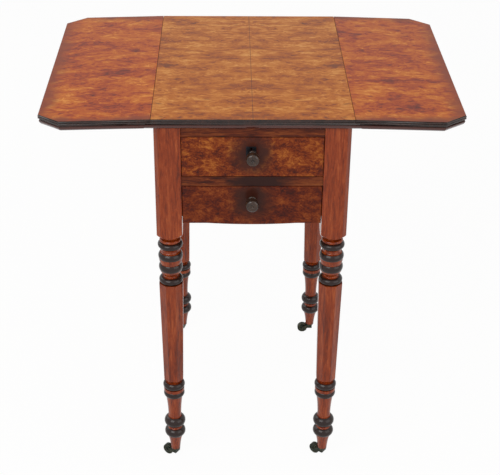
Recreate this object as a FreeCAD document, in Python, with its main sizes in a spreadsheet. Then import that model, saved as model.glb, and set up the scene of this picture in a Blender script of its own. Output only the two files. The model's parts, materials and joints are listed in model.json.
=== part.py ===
import FreeCAD
import Part
import Sketcher
import math
import os
import re

# A small Victorian work table: two drawers in a turned-leg frame on castors, with a drop
# leaf on each side that swings on rule joints and rests on a fly bracket.
# Millimetres. X runs across the front, Y from front to back, Z up from the floor. The front
# faces -Y. The pieces are drawn round the middle of the top, and each finished piece is
# then moved back by half of what the knobs stand out past it, so that the origin lies on
# the floor under the middle of the whole table.

document = FreeCAD.newDocument("work_table")
Vector = FreeCAD.Vector

# ---------------------------------------------------------------- driving sizes

SIZES = [
    # top and leaves
    ("table_height", 720, "floor to the top's surface"),
    ("open_width", 700, "across both leaves when they lie level"),
    ("table_depth", 482, "front edge to back edge of the top"),
    ("centre_width", 330, "between the two rule joints"),
    ("top_thickness", 18.5, "board of the top and of the leaves"),
    ("cant_width", 37, "canted corner of a leaf, across"),
    ("cant_depth", 30, "canted corner of a leaf, front to back"),
    ("rule_floor", 2, "hinge line above the underside of the top"),
    ("rule_radius", 11, "quarter round of the rule joint"),
    ("rule_gap", 0.3, "running gap of the rule joint"),
    ("leaf_droop", 1.6, "degrees that a raised leaf sags on its worn bracket"),
    # moulded edge of the top and leaves
    ("edge_ease", 1.2, "rounding at the top of the edge, measured in and down"),
    ("reed_height", 3.1, "one reed of the edge"),
    ("reed_inset", 1.3, "valley between the reeds, in from the edge"),
    ("quirk_height", 3.2, "dark groove under the reeds"),
    ("quirk_inset", 2.8, "bottom of that groove, in from the edge"),
    ("thumb_start", 1.3, "top of the lower moulding, in from the edge"),
    ("thumb_inset", 7, "bottom of the lower moulding, in from the edge"),
    ("thumb_centre", 10.3, "centre of its curve, in from the edge"),
    # hinges of the leaves
    ("hinge_spacing", 300, "between the two hinges of a leaf"),
    ("hinge_width", 38, "hinge along its pin"),
    ("fixed_plate_length", 32, "pin to the end of the plate on the top"),
    ("leaf_plate_length", 46, "pin to the end of the plate on the leaf"),
    ("hinge_plate", 2, "thickness of a hinge plate"),
    ("barrel_radius", 3.2, "outside of the hinge barrel"),
    ("barrel_gap", 0.4, "round the barrel of the other half"),
    ("hinge_pin_radius", 1.5, "wire pin"),
    ("pin_gap", 0.05, "running fit of a pin in its hole"),
    ("plate_gap", 0.3, "round a plate in its recess"),
    # screws
    ("screw_head_radius", 3, "countersunk head"),
    ("screw_head_depth", 1.6, "countersunk head"),
    ("screw_radius", 1.5, "shank"),
    ("hinge_screw_length", 11, "head to tip"),
    ("top_screw_length", 28, "through a kicker into the top"),
    ("screw_gap", 0.05, "between a screw and its hole"),
    # legs
    ("leg_size", 44, "square block at the head of a leg"),
    ("leg_chamfer", 7, "outer corner of the block"),
    ("leg_set_back", 30.6, "top's edge to the leg's centre line"),
    ("leaf_clearance", 1, "between a leg and a leaf that hangs"),
    ("block_length", 200.5, "top's underside to the lower corners of the block"),
    ("shoulder_length", 17, "where the square block turns into the round"),
    ("shoulder_radius", 14.2, "neck below the block"),
    ("shaft_top_width", 41.4, "across the flats of the octagon, upper end"),
    ("shaft_bottom_width", 34.6, "across the flats of the octagon, lower end"),
    ("foot_radius", 8.6, "underside of the wooden foot"),
    # rails and panels
    ("front_recess", 2, "rails and drawers behind the face of the legs"),
    ("rail_depth", 22, "front rails, front to back"),
    ("top_rail_height", 17, "rail above the upper drawer"),
    ("upper_opening", 72.7, "height of the upper drawer's opening"),
    ("divider_height", 17.3, "rail between the drawers"),
    ("lower_front_height", 70, "front of the lower drawer at its ends"),
    ("panel_thickness", 14, "side and back panels"),
    ("back_recess", 3, "back panel behind the face of the legs"),
    ("tenon_length", 12, "tenons of rails and panels"),
    ("tenon_shoulder", 4, "above and below a rail's tenon"),
    ("panel_shoulder", 15, "above and below a panel's tenon"),
    ("panel_cheek", 3, "each side of a panel's tenon"),
    # runners
    ("runner_width", 14, "strip that carries a drawer"),
    ("runner_thickness", 10, "strip that carries a drawer"),
    ("guide_height", 12, "guide strip above the runner"),
    ("lower_runner_rise", 11, "top of the lower runner over the drawer front's foot"),
    # drawers
    ("drawer_gap", 1, "round a drawer front"),
    ("front_thickness", 18, "drawer front"),
    ("drawer_length", 420, "face of the front to the end of the sides"),
    ("side_thickness", 8, "drawer sides and back"),
    ("side_gap", 1.5, "between a drawer side and its guide"),
    ("sliding_gap", 0.3, "between a drawer side and its runner"),
    ("side_drop", 3, "top of the drawer side below the opening"),
    ("bottom_thickness", 5, "drawer bottom"),
    ("bottom_rise", 7, "underside of the bottom above the sides' lower edge"),
    ("groove_depth", 3.5, "groove that holds the drawer bottom"),
    ("back_drop", 8, "top of the drawer back below the sides"),
    ("bow_depth", 2.5, "how far the lower front's foot swells down"),
    ("bow_width", 150, "length of that swelling"),
    ("upper_knob_height", 40, "knob's centre above the foot of its drawer front"),
    ("lower_knob_height", 44.5, "knob's centre above the foot of its drawer front"),
    # knobs
    ("knob_radius", 11.3, "head of a knob"),
    ("knob_length", 26, "drawer front to the face of the knob"),
    ("knob_rim", 6, "thickness of the head at its rim"),
    ("knob_neck_radius", 5, "thinnest part"),
    ("knob_collar_radius", 7.2, "foot against the drawer front"),
    ("knob_collar_length", 3, "foot against the drawer front"),
    ("knob_dish_radius", 7.5, "dished face"),
    ("knob_dish_depth", 1.4, "dished face"),
    ("spigot_radius", 4.5, "pin of the knob in the drawer front"),
    ("spigot_length", 9, "pin of the knob in the drawer front"),
    ("spigot_gap", 0.05, "between that pin and its hole"),
    # lock
    ("escutcheon_size", 17, "square plate round the keyhole"),
    ("escutcheon_thickness", 1, "let in flush"),
    ("escutcheon_offset", -2.3, "plate's centre from the middle of the drawer"),
    ("escutcheon_height", 46, "plate's centre above the foot of the drawer front"),
    ("keyhole_radius", 1.9, "round part of the keyhole"),
    ("keyhole_slot", 2, "width of its slot"),
    ("keyhole_length", 3.4, "length of its slot"),
    ("keyhole_rise", 4.2, "round part above the plate's centre"),
    ("lock_width", 44, "brass lock case"),
    ("lock_height", 30, "brass lock case"),
    ("lock_thickness", 8, "brass lock case"),
    ("bolt_width", 15, "lock bolt"),
    ("bolt_thickness", 3.5, "lock bolt"),
    ("bolt_length", 13, "lock bolt"),
    ("bolt_throw", 5, "how far the bolt rises"),
    ("bolt_gap", 0.3, "round the bolt"),
    # fly brackets
    ("fly_thickness", 16, "swinging bracket and its fixed rail"),
    ("fly_recess", 2.6, "their face behind the face of the legs"),
    ("fly_clearance", 0.4, "between the moving bracket and what it passes"),
    ("fly_height", 56, "bracket at its knuckle"),
    ("fly_tip_height", 18, "bracket at its tip"),
    ("fly_length", 168, "knuckle pin to the tip"),
    ("fly_pin_place", -58, "knuckle pin from the middle of the side"),
    ("fly_pin_radius", 2.5, "steel pin"),
    ("fly_rail_length", 110, "fixed rail from the pin towards the front"),
    # castors
    ("wheel_radius", 10.5, "brass wheel"),
    ("wheel_width", 9, "brass wheel"),
    ("wheel_bore_gap", 0.05, "wheel on its axle"),
    ("axle_radius", 1.5, "axle"),
    ("axle_head_radius", 2.4, "riveted ends of the axle"),
    ("axle_head_length", 0.9, "riveted ends of the axle"),
    ("horn_side_gap", 0.7, "wheel to the cheeks of the horn"),
    ("horn_cheek", 1.8, "cheek of the horn"),
    ("horn_half_width", 4.8, "boss of the horn, along its trail"),
    ("horn_boss_gap", 0.7, "boss of the horn to the wheel's rim"),
    ("wheel_headroom", 0.5, "top of the wheel below the wooden foot"),
    ("horn_floor", 11.5, "underside of the boss above the floor"),
    ("horn_eye_radius", 3.6, "cheek round the axle"),
    ("cap_thickness", 1.5, "plate under the foot"),
    ("stem_radius", 2.2, "swivel pin of the castor"),
    ("stem_head_radius", 3.3, "riveted end of the swivel pin"),
    ("stem_head_length", 1.4, "riveted end of the swivel pin"),
    ("castor_gap", 0.3, "between the plate, the horn and the riveted end"),
    ("front_left_turn", 147, "degrees that the castor has swung from +X"),
    ("front_right_turn", 142, "degrees that the castor has swung from +X"),
    ("back_left_turn", 165, "degrees that the castor has swung from +X"),
    ("back_right_turn", 180, "degrees that the castor has swung from +X"),
]

# Turned members of a leg: name, length, then the radius at its start, middle and end.
# A member with no start flows on from the one before, and one with no middle is straight.
# The first list runs down from the block to the octagonal shaft, the second runs up from
# the foot to the shaft.
UPPER_MEMBERS = [
    ("necking_bead", 6, 16, 18.6, 16),
    ("collar_bead", 12, None, 21.8, 16),
    ("upper_hollow", 9.5, 17.6, 14.2, 17.6),
    ("middle_bead", 11, 18.3, 21.3, 20.4),
    ("cup", 11, None, 19.8, 18.2),
    ("bowl_bead", 12.5, 18.6, 20.8, 19.6),
    ("bowl", 10, None, 17.6, 13.3),
    ("lower_hollow", 4.5, None, 11.3, 13.3),
    ("capital_bead", 12, 16, 21, 17),
]
LOWER_MEMBERS = [
    ("foot_taper", 26.5, 8.6, 10, 12.2),
    ("ankle_fillet", 6, 12.6, None, 13.9),
    ("ankle_bead", 18, None, 19.3, 13.4),
    ("ankle_hollow", 5.5, None, 11.6, 13.4),
    ("knee_bead", 20, None, 19.6, 13),
    ("vase", 49, 12, 12.7, 15.4),
    ("shaft_ring", 13, 16.2, 19.2, 16.2),
    ("shaft_fillet", 6, 18.8, None, 18.8),
    ("base_bead", 13, 16.5, 20, 16.5),
    ("shaft_neck", 2, 12.8, None, 12.8),
    ("shaft_seat", 6, None, None, 17.3),
]

for member, length, start, middle, end in UPPER_MEMBERS + LOWER_MEMBERS:
    SIZES.append((member + "_length", length, "turned member of a leg, along the leg"))
    for point, radius in (("_start", start), ("_middle", middle), ("_end", end)):
        if radius is not None:
            SIZES.append((member + point, radius, "radius at that point of the member"))

# ---------------------------------------------------------------- places worked out

PLACES = [
    ("underside", "table_height - top_thickness", "underside of the top"),
    ("hinge_x", "centre_width / 2", "hinge line of a leaf"),
    ("rule_fillet", "top_thickness - rule_radius - rule_floor", "shoulder of the rule joint"),
    ("hinge_z", "underside + rule_floor", "hinge line of a leaf"),
    ("leaf_reach", "open_width / 2 - hinge_x", "hinge line to the leaf's edge"),
    ("half_depth", "table_depth / 2", "middle to the front edge"),
    ("leg_outer", "hinge_x - rule_floor - leaf_clearance", "outer face of a leg"),
    ("leg_x", "leg_outer - leg_size / 2", "centre line of a leg"),
    ("leg_inner", "leg_outer - leg_size", "inner face of a leg"),
    ("leg_y", "half_depth - leg_set_back", "centre line of a leg"),
    ("leg_face", "leg_y + leg_size / 2", "front or back face of a leg"),
    ("leg_back", "leg_y - leg_size / 2", "face of a leg towards the next one"),
    ("block_bottom", "underside - block_length", "lower corners of the block"),
    ("front_y", "front_recess - leg_face", "face of rails and drawer fronts"),
    ("rail_back", "front_y + rail_depth", "back of the front rails"),
    ("rail_bottom", "underside - top_rail_height", "underside of the top rail"),
    ("divider_top", "rail_bottom - upper_opening", "top of the divider rail"),
    ("divider_bottom", "divider_top - divider_height", "underside of the divider"),
    ("frieze_bottom", "divider_bottom - drawer_gap - lower_front_height", "foot of the box"),
    ("knob_reach", "knob_length - front_y - half_depth", "knobs past the top's front edge"),
    ("panel_back", "leg_face - back_recess", "outside of the back panel"),
    ("panel_front", "panel_back - panel_thickness", "inside of the back panel"),
    ("fly_face", "leg_outer - fly_recess", "outer face of the fly rail"),
    ("fly_pin_x", "fly_face - fly_thickness / 2", "knuckle pin"),
    ("panel_outer", "fly_face - fly_thickness - fly_clearance", "outside of a side panel"),
    ("panel_inner", "panel_outer - panel_thickness", "inside of a side panel"),
    ("runner_inner", "leg_inner - runner_width", "inner edge of a runner"),
    ("knuckle_half", "hinge_width / 6 - barrel_gap / 2", "half of a leaf plate's knuckle"),
    ("cheek_inner", "wheel_width / 2 + horn_side_gap", "inside of a castor's cheek"),
    ("cheek_outer", "cheek_inner + horn_cheek", "outside of a castor's cheek"),
    ("wheel_trail", "horn_half_width + horn_boss_gap + wheel_radius", "swivel to the wheel's centre"),
    ("foot_height", "2 * wheel_radius + wheel_headroom", "floor to the wooden foot"),
    ("horn_top", "foot_height - cap_thickness - castor_gap", "top of a castor's horn"),
    ("fly_top", "underside - fly_clearance", "top of the fly rail and bracket"),
    ("fly_out", "hinge_x - fly_pin_x", "pin to the hinge line, bracket swung out"),
    (
        "fly_fall",
        "(fly_length - fly_out) * tan(leaf_droop) + fly_clearance / 2",
        "fall of the bracket's top edge to meet the sagging leaf",
    ),
]

sizes = document.addObject("Spreadsheet::Sheet", "sizes")
places = document.addObject("Spreadsheet::Sheet", "places")
CELLS = {alias: "sizes." + alias for alias, number, meaning in SIZES}
CELLS.update({alias: "places." + alias for alias, formula, meaning in PLACES})


def bound(expression):
    """The expression with every alias written as the cell that holds it."""
    return re.sub(r"[a-z][a-z_0-9]*", lambda word: CELLS.get(word[0], word[0]), str(expression))


for row, (alias, number, meaning) in enumerate(SIZES, 1):
    sizes.set(f"A{row}", meaning)
    sizes.set(f"B{row}", str(number))
    sizes.setAlias(f"B{row}", alias)
document.recompute()
for row, (alias, formula, meaning) in enumerate(PLACES, 1):
    places.set(f"A{row}", meaning)
    places.set(f"B{row}", "=" + bound(formula).replace("places.", ""))
    places.setAlias(f"B{row}", alias)
document.recompute()


def value(expression):
    """What an expression comes to, in millimetres or degrees."""
    return float(sizes.evalExpression(bound(expression)))


# ---------------------------------------------------------------- modelling helpers


def place(thing, x=0, y=0, z=0, turns=()):
    """Moves a thing to x, y, z after turning it. The last turn in the list is made first."""
    spins = [f"rotation(vector({axis}); {bound(angle)})" for axis, angle in turns]
    spin = " * ".join(spins) or "rotation(vector(0; 0; 1); 0)"
    base = f"vector({bound(x)}; {bound(y)}; {bound(z)})"
    thing.setExpression("Placement", f"placement({base}; {spin})")
    return thing


def bind(thing, **properties):
    """Binds each property of a thing to an expression of the sheet."""
    for key, expression in properties.items():
        thing.setExpression(key, bound(expression))
    return thing


def block(name, x, y, z):
    """A box between two expressions along each axis."""
    box = document.addObject("Part::Box", name)
    bind(box, Length=f"({x[1]}) - ({x[0]})", Width=f"({y[1]}) - ({y[0]})")
    bind(box, Height=f"({z[1]}) - ({z[0]})")
    return place(box, x[0], y[0], z[0])


AXIS_TURNS = {"x": [("0; 1; 0", 90)], "y": [("1; 0; 0", -90)], "z": []}


def rod(name, radius, axis, start, length):
    """A cylinder from a start point along an axis."""
    cylinder = document.addObject("Part::Cylinder", name)
    bind(cylinder, Radius=radius, Height=length)
    return place(cylinder, *start, AXIS_TURNS[axis])


def joined(name, things):
    """One solid from several."""
    fuse = document.addObject("Part::MultiFuse", name)
    fuse.Shapes = things
    fuse.Refine = True
    return fuse


def less(name, base, tools):
    """The base with the tools cut out of it."""
    cut = document.addObject("Part::Cut", name)
    cut.Base = base
    cut.Tool = tools[0] if len(tools) == 1 else grouped(name + "_tools", tools)
    return cut


def grouped(name, things):
    """Several separate solids in one node, or several tools for one cut."""
    compound = document.addObject("Part::Compound", name)
    compound.Links = things
    return compound


def arc_centre(start, end, axis, coordinate):
    """The centre with the given x or y of an arc from start to end, on their bisector."""
    middle = (start + end) / 2
    chord = end - start
    if axis == "x":
        return Vector(coordinate, middle.y - (coordinate - middle.x) * chord.x / chord.y, 0)
    return Vector(middle.x - (coordinate - middle.y) * chord.y / chord.x, coordinate, 0)


def pin_point(sketch, element, point, axis, expression):
    """Fixes the x or y of a point of a sketch to an expression."""
    kind = "Distance" + axis.upper()
    known = value(expression)
    number = sketch.addConstraint(Sketcher.Constraint(kind, -1, 1, element, point, known))
    sketch.setExpression(f"Constraints[{number}]", bound(expression))


def draw(sketch, corners):
    """Draws a closed outline. A corner is (x, y), from which a line leads on, or
    (x, y, axis, centre), from which an arc leads on whose centre has that x or y."""
    spots = [Vector(value(corner[0]), value(corner[1]), 0) for corner in corners]
    ends = []
    for n, corner in enumerate(corners):
        start = spots[n]
        end = spots[(n + 1) % len(spots)]
        first, last = 1, 2
        if len(corner) == 2:
            sketch.addGeometry(Part.LineSegment(start, end))
        else:
            centre = arc_centre(start, end, corner[2], value(corner[3]))
            if (start - centre).cross(end - centre).z < 0:
                start, end = end, start
                first, last = 2, 1
            circle = Part.Circle(centre, Vector(0, 0, 1), (start - centre).Length)
            angles = [math.atan2(spot.y - centre.y, spot.x - centre.x) for spot in (start, end)]
            sketch.addGeometry(Part.ArcOfCircle(circle, *angles))
            pin_point(sketch, n, 3, corner[2], corner[3])
        pin_point(sketch, n, first, "x", corner[0])
        pin_point(sketch, n, first, "y", corner[1])
        ends.append((first, last))
    for n, (first, last) in enumerate(ends):
        after = (n + 1) % len(ends)
        meeting = Sketcher.Constraint("Coincident", n, last, after, ends[after][0])
        sketch.addConstraint(meeting)


def body_with_sketch(name, role, corners):
    """A body and, on its own origin plane of that role, a sketch of the outline."""
    body = document.addObject("PartDesign::Body", name)
    sketch = body.newObject("Sketcher::SketchObject", name + "_outline")
    plane = next(face for face in body.Origin.OriginFeatures if face.Role == role)
    sketch.AttachmentSupport = [(plane, "")]
    sketch.MapMode = "FlatFace"
    draw(sketch, corners)
    return body, sketch


def slab(name, role, corners, thickness):
    """The outline on an origin plane, thickened equally to both sides of it."""
    body, sketch = body_with_sketch(name, role, corners)
    pad = body.newObject("PartDesign::Pad", name + "_pad")
    pad.Profile = sketch
    pad.Midplane = True
    bind(pad, Length=thickness)
    return body


def turned(name, corners):
    """A turned piece: the outline, of radius and height, spun round Z."""
    body, sketch = body_with_sketch(name, "XZ_Plane", corners)
    spin = body.newObject("PartDesign::Revolution", name + "_turning")
    spin.Profile = sketch
    spin.ReferenceAxis = (sketch, ["V_Axis"])
    spin.Angle = 360
    return body


def member_corners(members, foot, way):
    """Corners of a row of turned members from a height, way + for up and - for down. The
    arc through a member's start, middle and end has its centre where the bisectors cross."""
    corners = []
    height = foot
    radius = None
    for member, length, start, middle, end in members:
        if start is not None:
            radius = member + "_start"
        corner = (radius, height)
        if middle is not None:
            first, mid, last = radius, member + "_middle", member + "_end"
            span = f"2 * {mid}^2 - {first}^2 - {last}^2 - {member}_length^2 / 2"
            corner += ("x", f"({span}) / (4 * {mid} - 2 * {first} - 2 * {last})")
        corners.append(corner)
        height = f"{height} {way} {member}_length"
        radius = member + "_end"
        following = members.index((member, length, start, middle, end)) + 1
        if following == len(members) or members[following][2] is not None:
            corners.append((radius, height))
    return corners, height


def screw(name, x, y, z, length, gap="0"):
    """A countersunk screw that points up, its head at z, or with a gap its hole."""
    head = document.addObject("Part::Cone", name + "_head")
    bind(head, Radius1=f"screw_head_radius + {gap}", Radius2=f"screw_radius + {gap}")
    bind(head, Height="screw_head_depth")
    place(head, x, y, z)
    shank = rod(name + "_shank", f"screw_radius + {gap}", "z", (x, y, z), f"{length} + {gap}")
    return joined(name, [head, shank])


nodes = {}


def keep(name, thing):
    """Names a finished piece of the table and moves it back to suit the origin."""
    piece = place(grouped(name + "_piece", [thing]), y="knob_reach / 2")
    piece.Label = name
    nodes[name] = piece
    return thing


def finished(name, thing, x=0, y=0, z=0, turns=()):
    """A finished piece that is first moved as a whole to its place."""
    return keep(name, place(grouped(name + "_placed", [thing]), x, y, z, turns))


# ---------------------------------------------------------------- the moulded edge


def edge_corners(edge, top, bottom):
    """The waste beyond the moulded edge: a fillet, two reeds, a groove and a thumb."""
    reed = f"{edge} + (reed_height^2 / 4 + reed_inset^2) / (2 * reed_inset)"
    first = f"{top} - edge_ease"
    second = f"{first} - reed_height"
    third = f"{second} - reed_height"
    fourth = f"{third} - quirk_height"
    return [
        (f"{edge} + edge_ease", f"{top} + 1"),
        (f"{edge} + edge_ease", first),
        (f"{edge} + reed_inset", first, "x", reed),
        (f"{edge} + reed_inset", second, "x", reed),
        (f"{edge} + reed_inset", third),
        (f"{edge} + quirk_inset", third),
        (f"{edge} + quirk_inset", fourth),
        (f"{edge} + thumb_start", fourth, "x", f"{edge} + thumb_centre"),
        (f"{edge} + thumb_inset", bottom),
        (f"{edge} + thumb_inset", f"{bottom} - 1"),
        (f"{edge} - 3", f"{bottom} - 1"),
        (f"{edge} - 3", f"{top} + 1"),
    ]


# ---------------------------------------------------------------- hinges of the leaves

HINGE_ENDS = [("front", "-hinge_spacing / 2"), ("back", "hinge_spacing / 2")]


def plate_screw_spots(y, sign, length):
    """Two screws of a hinge plate that reaches from the pin to its sign's side."""
    near = f"{sign} * {length} * 0.45"
    far = f"{sign} * {length} * 0.8"
    return [(near, f"{y} - hinge_width / 4"), (far, f"{y} + hinge_width / 4")]


def hinge_half(name, y, sign, length, reliefs):
    """A plate with its knuckles, at y on the pin. A relief clears the other half's knuckle."""
    reach = f"{sign} * {length}"
    across = ("0", reach) if sign == "1" else (reach, "0")
    width = (f"{y} - hinge_width / 2", f"{y} + hinge_width / 2")
    plate = block(name + "_flat", across, width, ("-rule_floor", "hinge_plate - rule_floor"))
    barrel = rod(name + "_barrel", "barrel_radius", "y", ("0", width[0], "0"), "hinge_width")
    tools = [rod(name + "_eye", "hinge_pin_radius + pin_gap", "y", ("0", width[0], "0"), "hinge_width")]
    for n, (start, run) in enumerate(reliefs):
        radius = "barrel_radius + barrel_gap"
        tools.append(rod(f"{name}_relief_{n}", radius, "y", ("0", f"{y} + ({start})", "0"), run))
    for n, (x, spot) in enumerate(plate_screw_spots(y, sign, length)):
        hole_name = f"{name}_hole_{n}"
        tools.append(screw(hole_name, x, spot, "-rule_floor", "hinge_screw_length", "screw_gap"))
    return less(name, joined(name + "_blank", [plate, barrel]), tools)


def hinge_parts(side, turn):
    """The two hinges of one leaf, built on the hinge line and turned to their side."""
    droop = [("0; 1; 0", "leaf_droop" if side == "right" else "-leaf_droop")]
    line = ("hinge_x" if side == "right" else "-hinge_x", 0, "hinge_z")
    fixed = []
    swinging = []
    fixed_screws = []
    leaf_screws = []
    outside = "hinge_width / 2 - knuckle_half"
    for end, y in HINGE_ENDS:
        name = f"{side}_{end}"
        middle = [("-knuckle_half - barrel_gap", "2 * knuckle_half + 2 * barrel_gap")]
        sides = [("-hinge_width / 2", outside), ("knuckle_half", outside)]
        fixed.append(hinge_half(name + "_fixed", y, "-1", "fixed_plate_length", middle))
        swinging.append(hinge_half(name + "_swing", y, "1", "leaf_plate_length", sides))
        for n, (x, spot) in enumerate(plate_screw_spots(y, "-1", "fixed_plate_length")):
            screw_name = f"{name}_top_screw_{n}"
            fixed_screws.append(screw(screw_name, x, spot, "-rule_floor", "hinge_screw_length"))
        for n, (x, spot) in enumerate(plate_screw_spots(y, "1", "leaf_plate_length")):
            screw_name = f"{name}_leaf_screw_{n}"
            leaf_screws.append(screw(screw_name, x, spot, "-rule_floor", "hinge_screw_length"))
    for group, label, turns in (
        (fixed, f"hinge_fixed_plates_{side}", turn),
        (swinging, f"hinge_leaf_plates_{side}", droop + turn),
        (leaf_screws, f"hinge_leaf_screws_{side}", droop + turn),
    ):
        keep(label, place(grouped(label, group), *line, turns))
    return place(grouped(f"{side}_fixed_screws", fixed_screws), *line, turn)


SIDES = {"right": [], "left": [("0; 0; 1", 180)]}
keep("hinge_top_screws", grouped("hinge_top_screws", [hinge_parts(*side) for side in SIDES.items()]))

hinge_pins = []
for side, sign in (("left", "-"), ("right", "")):
    for end, y in HINGE_ENDS:
        start = (f"{sign}hinge_x", f"{y} - hinge_width / 2", "hinge_z")
        hinge_pins.append(rod(f"{side}_{end}_hinge_pin", "hinge_pin_radius", "y", start, "hinge_width"))
keep("hinge_pins", grouped("hinge_pins", hinge_pins))

# ---------------------------------------------------------------- the two leaves


def leaf(side, turn):
    """A leaf, drawn from its hinge line outwards, with the hollow half of the rule joint."""
    name = "leaf_" + side
    droop = [("0; 1; 0", "leaf_droop" if side == "right" else "-leaf_droop")]
    top = "rule_fillet + rule_radius"
    outline = [
        ("0", "-half_depth"),
        ("leaf_reach - cant_width", "-half_depth"),
        ("leaf_reach", "cant_depth - half_depth"),
        ("leaf_reach", "half_depth - cant_depth"),
        ("leaf_reach - cant_width", "half_depth"),
        ("0", "half_depth"),
    ]
    board = slab(name + "_board", "XY_Plane", outline, "top_thickness")
    place(board, z=f"{top} - top_thickness / 2")
    hollow = "rule_radius + rule_gap"
    shoulder = f"sqrt(({hollow})^2 - rule_gap^2)"
    joint = [
        ("-1", "-rule_floor - 1"),
        (hollow, "-rule_floor - 1"),
        (hollow, "0", "x", "0"),
        ("rule_gap", shoulder),
        ("rule_gap", f"{top} + 1"),
        ("-1", f"{top} + 1"),
    ]
    tools = [slab(name + "_joint", "XZ_Plane", joint, "table_depth + 2")]

    profile = document.addObject("Sketcher::SketchObject", name + "_edge_profile")
    draw(profile, edge_corners("-half_depth", top, "-rule_floor"))
    place(profile, x="-2", turns=[("1; 1; 1", 120)])
    path = document.addObject("Part::Feature", name + "_edge_path")
    spots = [(-2 if x == "0" else value(x), value(y), value(top)) for x, y in outline]
    path.Shape = Part.makePolygon([Vector(*spot) for spot in spots])
    sweep = document.addObject("Part::Sweep", name + "_edge")
    sweep.Sections = [profile]
    sweep.Spine = (path, [f"Edge{n}" for n in range(1, len(spots))])
    sweep.Solid = True
    sweep.Frenet = False
    sweep.Transition = "Right corner"
    tools.append(sweep)

    for end, y in HINGE_ENDS:
        across = ("0", "leaf_plate_length + plate_gap")
        width = (f"{y} - hinge_width / 2 - plate_gap", f"{y} + hinge_width / 2 + plate_gap")
        height = ("-rule_floor - 1", "hinge_plate - rule_floor")
        tools.append(block(f"{name}_{end}_recess", across, width, height))
        for n, (x, spot) in enumerate(plate_screw_spots(y, "1", "leaf_plate_length")):
            hole_name = f"{name}_{end}_hole_{n}"
            hole = screw(hole_name, x, spot, "-rule_floor", "hinge_screw_length", "screw_gap")
            tools.append(hole)
    line = ("hinge_x" if side == "right" else "-hinge_x", 0, "hinge_z")
    keep(name, place(less(name, board, tools), *line, droop + turn))


for side, turn in SIDES.items():
    leaf(side, turn)

# ---------------------------------------------------------------- the fixed top


def top_board():
    """The board between the leaves, with the rounded half of a rule joint on each side."""
    lip = "hinge_x + rule_radius"
    shoulder = "hinge_z + rule_radius"
    section = [
        (f"-({lip})", "underside"),
        (lip, "underside"),
        (lip, "hinge_z", "x", "hinge_x"),
        ("hinge_x", shoulder),
        ("hinge_x", "table_height"),
        ("-hinge_x", "table_height"),
        ("-hinge_x", shoulder, "x", "-hinge_x"),
        (f"-({lip})", "hinge_z"),
    ]
    return slab("centre_top_board", "XZ_Plane", section, "table_depth")


def top_edge(end, turns):
    """The waste beyond the moulded edge at the front or back of the fixed top."""
    corners = edge_corners("-half_depth", "table_height", "underside")
    waste = slab(f"centre_top_edge_{end}", "YZ_Plane", corners, "centre_width * 2")
    return place(waste, turns=turns)


def hinge_recess(side, turn):
    """Room under the top for the hinges of one side: plates, barrels and the leaf's swing."""
    tools = []
    for end, y in HINGE_ENDS:
        name = f"{side}_{end}"
        width = (f"{y} - hinge_width / 2 - plate_gap", f"{y} + hinge_width / 2 + plate_gap")
        plate = ("-fixed_plate_length - plate_gap", "0")
        swing = ("0", "rule_radius + 1")
        height = ("-rule_floor - 1", "hinge_plate - rule_floor")
        tools.append(block(name + "_plate_recess", plate, width, height))
        height = ("-rule_floor - 1", "hinge_plate - rule_floor + barrel_gap")
        tools.append(block(name + "_swing_recess", swing, width, height))
        reach = "hinge_width + 2 * plate_gap"
        start = ("0", width[0], "0")
        tools.append(rod(name + "_barrel_recess", "barrel_radius + barrel_gap", "y", start, reach))
        for n, (x, spot) in enumerate(plate_screw_spots(y, "-1", "fixed_plate_length")):
            hole_name = f"{name}_top_hole_{n}"
            hole = screw(hole_name, x, spot, "-rule_floor", "hinge_screw_length", "screw_gap")
            tools.append(hole)
    line = ("hinge_x" if side == "right" else "-hinge_x", 0, "hinge_z")
    return place(grouped(side + "_hinge_recesses", tools), *line, turn)


KICKER_SCREWS = [
    (f"{sign}(leg_inner - runner_width / 2)", y)
    for sign in ("-", "")
    for y in ("rail_back + 30", "0", "panel_front - 30")
]


def kicker_screws(name, gap="0"):
    """Screws up through the kickers, which hold the top down."""
    every = []
    for n, (x, y) in enumerate(KICKER_SCREWS):
        every.append(screw(f"{name}_{n}", x, y, "rail_bottom", "top_screw_length", gap))
    return grouped(name, every)


keep("top_screws", kicker_screws("top_screws"))
top_waste = [top_edge("front", []), top_edge("back", [("0; 0; 1", 180)])]
top_waste += [hinge_recess(side, turn) for side, turn in SIDES.items()]
top_waste.append(kicker_screws("top_holes", "screw_gap"))
keep("centre_top", less("centre_top", top_board(), top_waste))

# ---------------------------------------------------------------- rails and panels

tenons = []


def tenoned(name, along, spans, shoulders, tools=()):
    """A rail or panel with a tenon at each end. Spans are its x, y and z from shoulder to
    shoulder, and shoulders what the tenon stands in from them across its length."""
    body = block(name + "_board", *spans)
    grown = []
    for axis, (low, high), inset in zip("xyz", spans, shoulders):
        inset = "-tenon_length" if axis == along else inset
        grown.append((f"{low} + ({inset})", f"{high} - ({inset})"))
    tenon = block(name + "_tenons", *grown)
    tenons.append(tenon)
    whole = joined(name + "_blank", [body, tenon])
    return keep(name, less(name, whole, list(tools)) if tools else whole)


lock_x = ("escutcheon_offset - bolt_width / 2", "escutcheon_offset + bolt_width / 2")
lock_y = "front_y + front_thickness - lock_thickness / 2"
lock_wide = (f"{lock_x[0]} - bolt_gap", f"{lock_x[1]} + bolt_gap")
lock_deep = (f"{lock_y} - bolt_thickness / 2 - bolt_gap", f"{lock_y} + bolt_thickness / 2 + bolt_gap")
mortise_height = ("rail_bottom - 1", "rail_bottom + bolt_throw + 1")
bolt_mortise = block("bolt_mortise", lock_wide, lock_deep, mortise_height)

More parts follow.
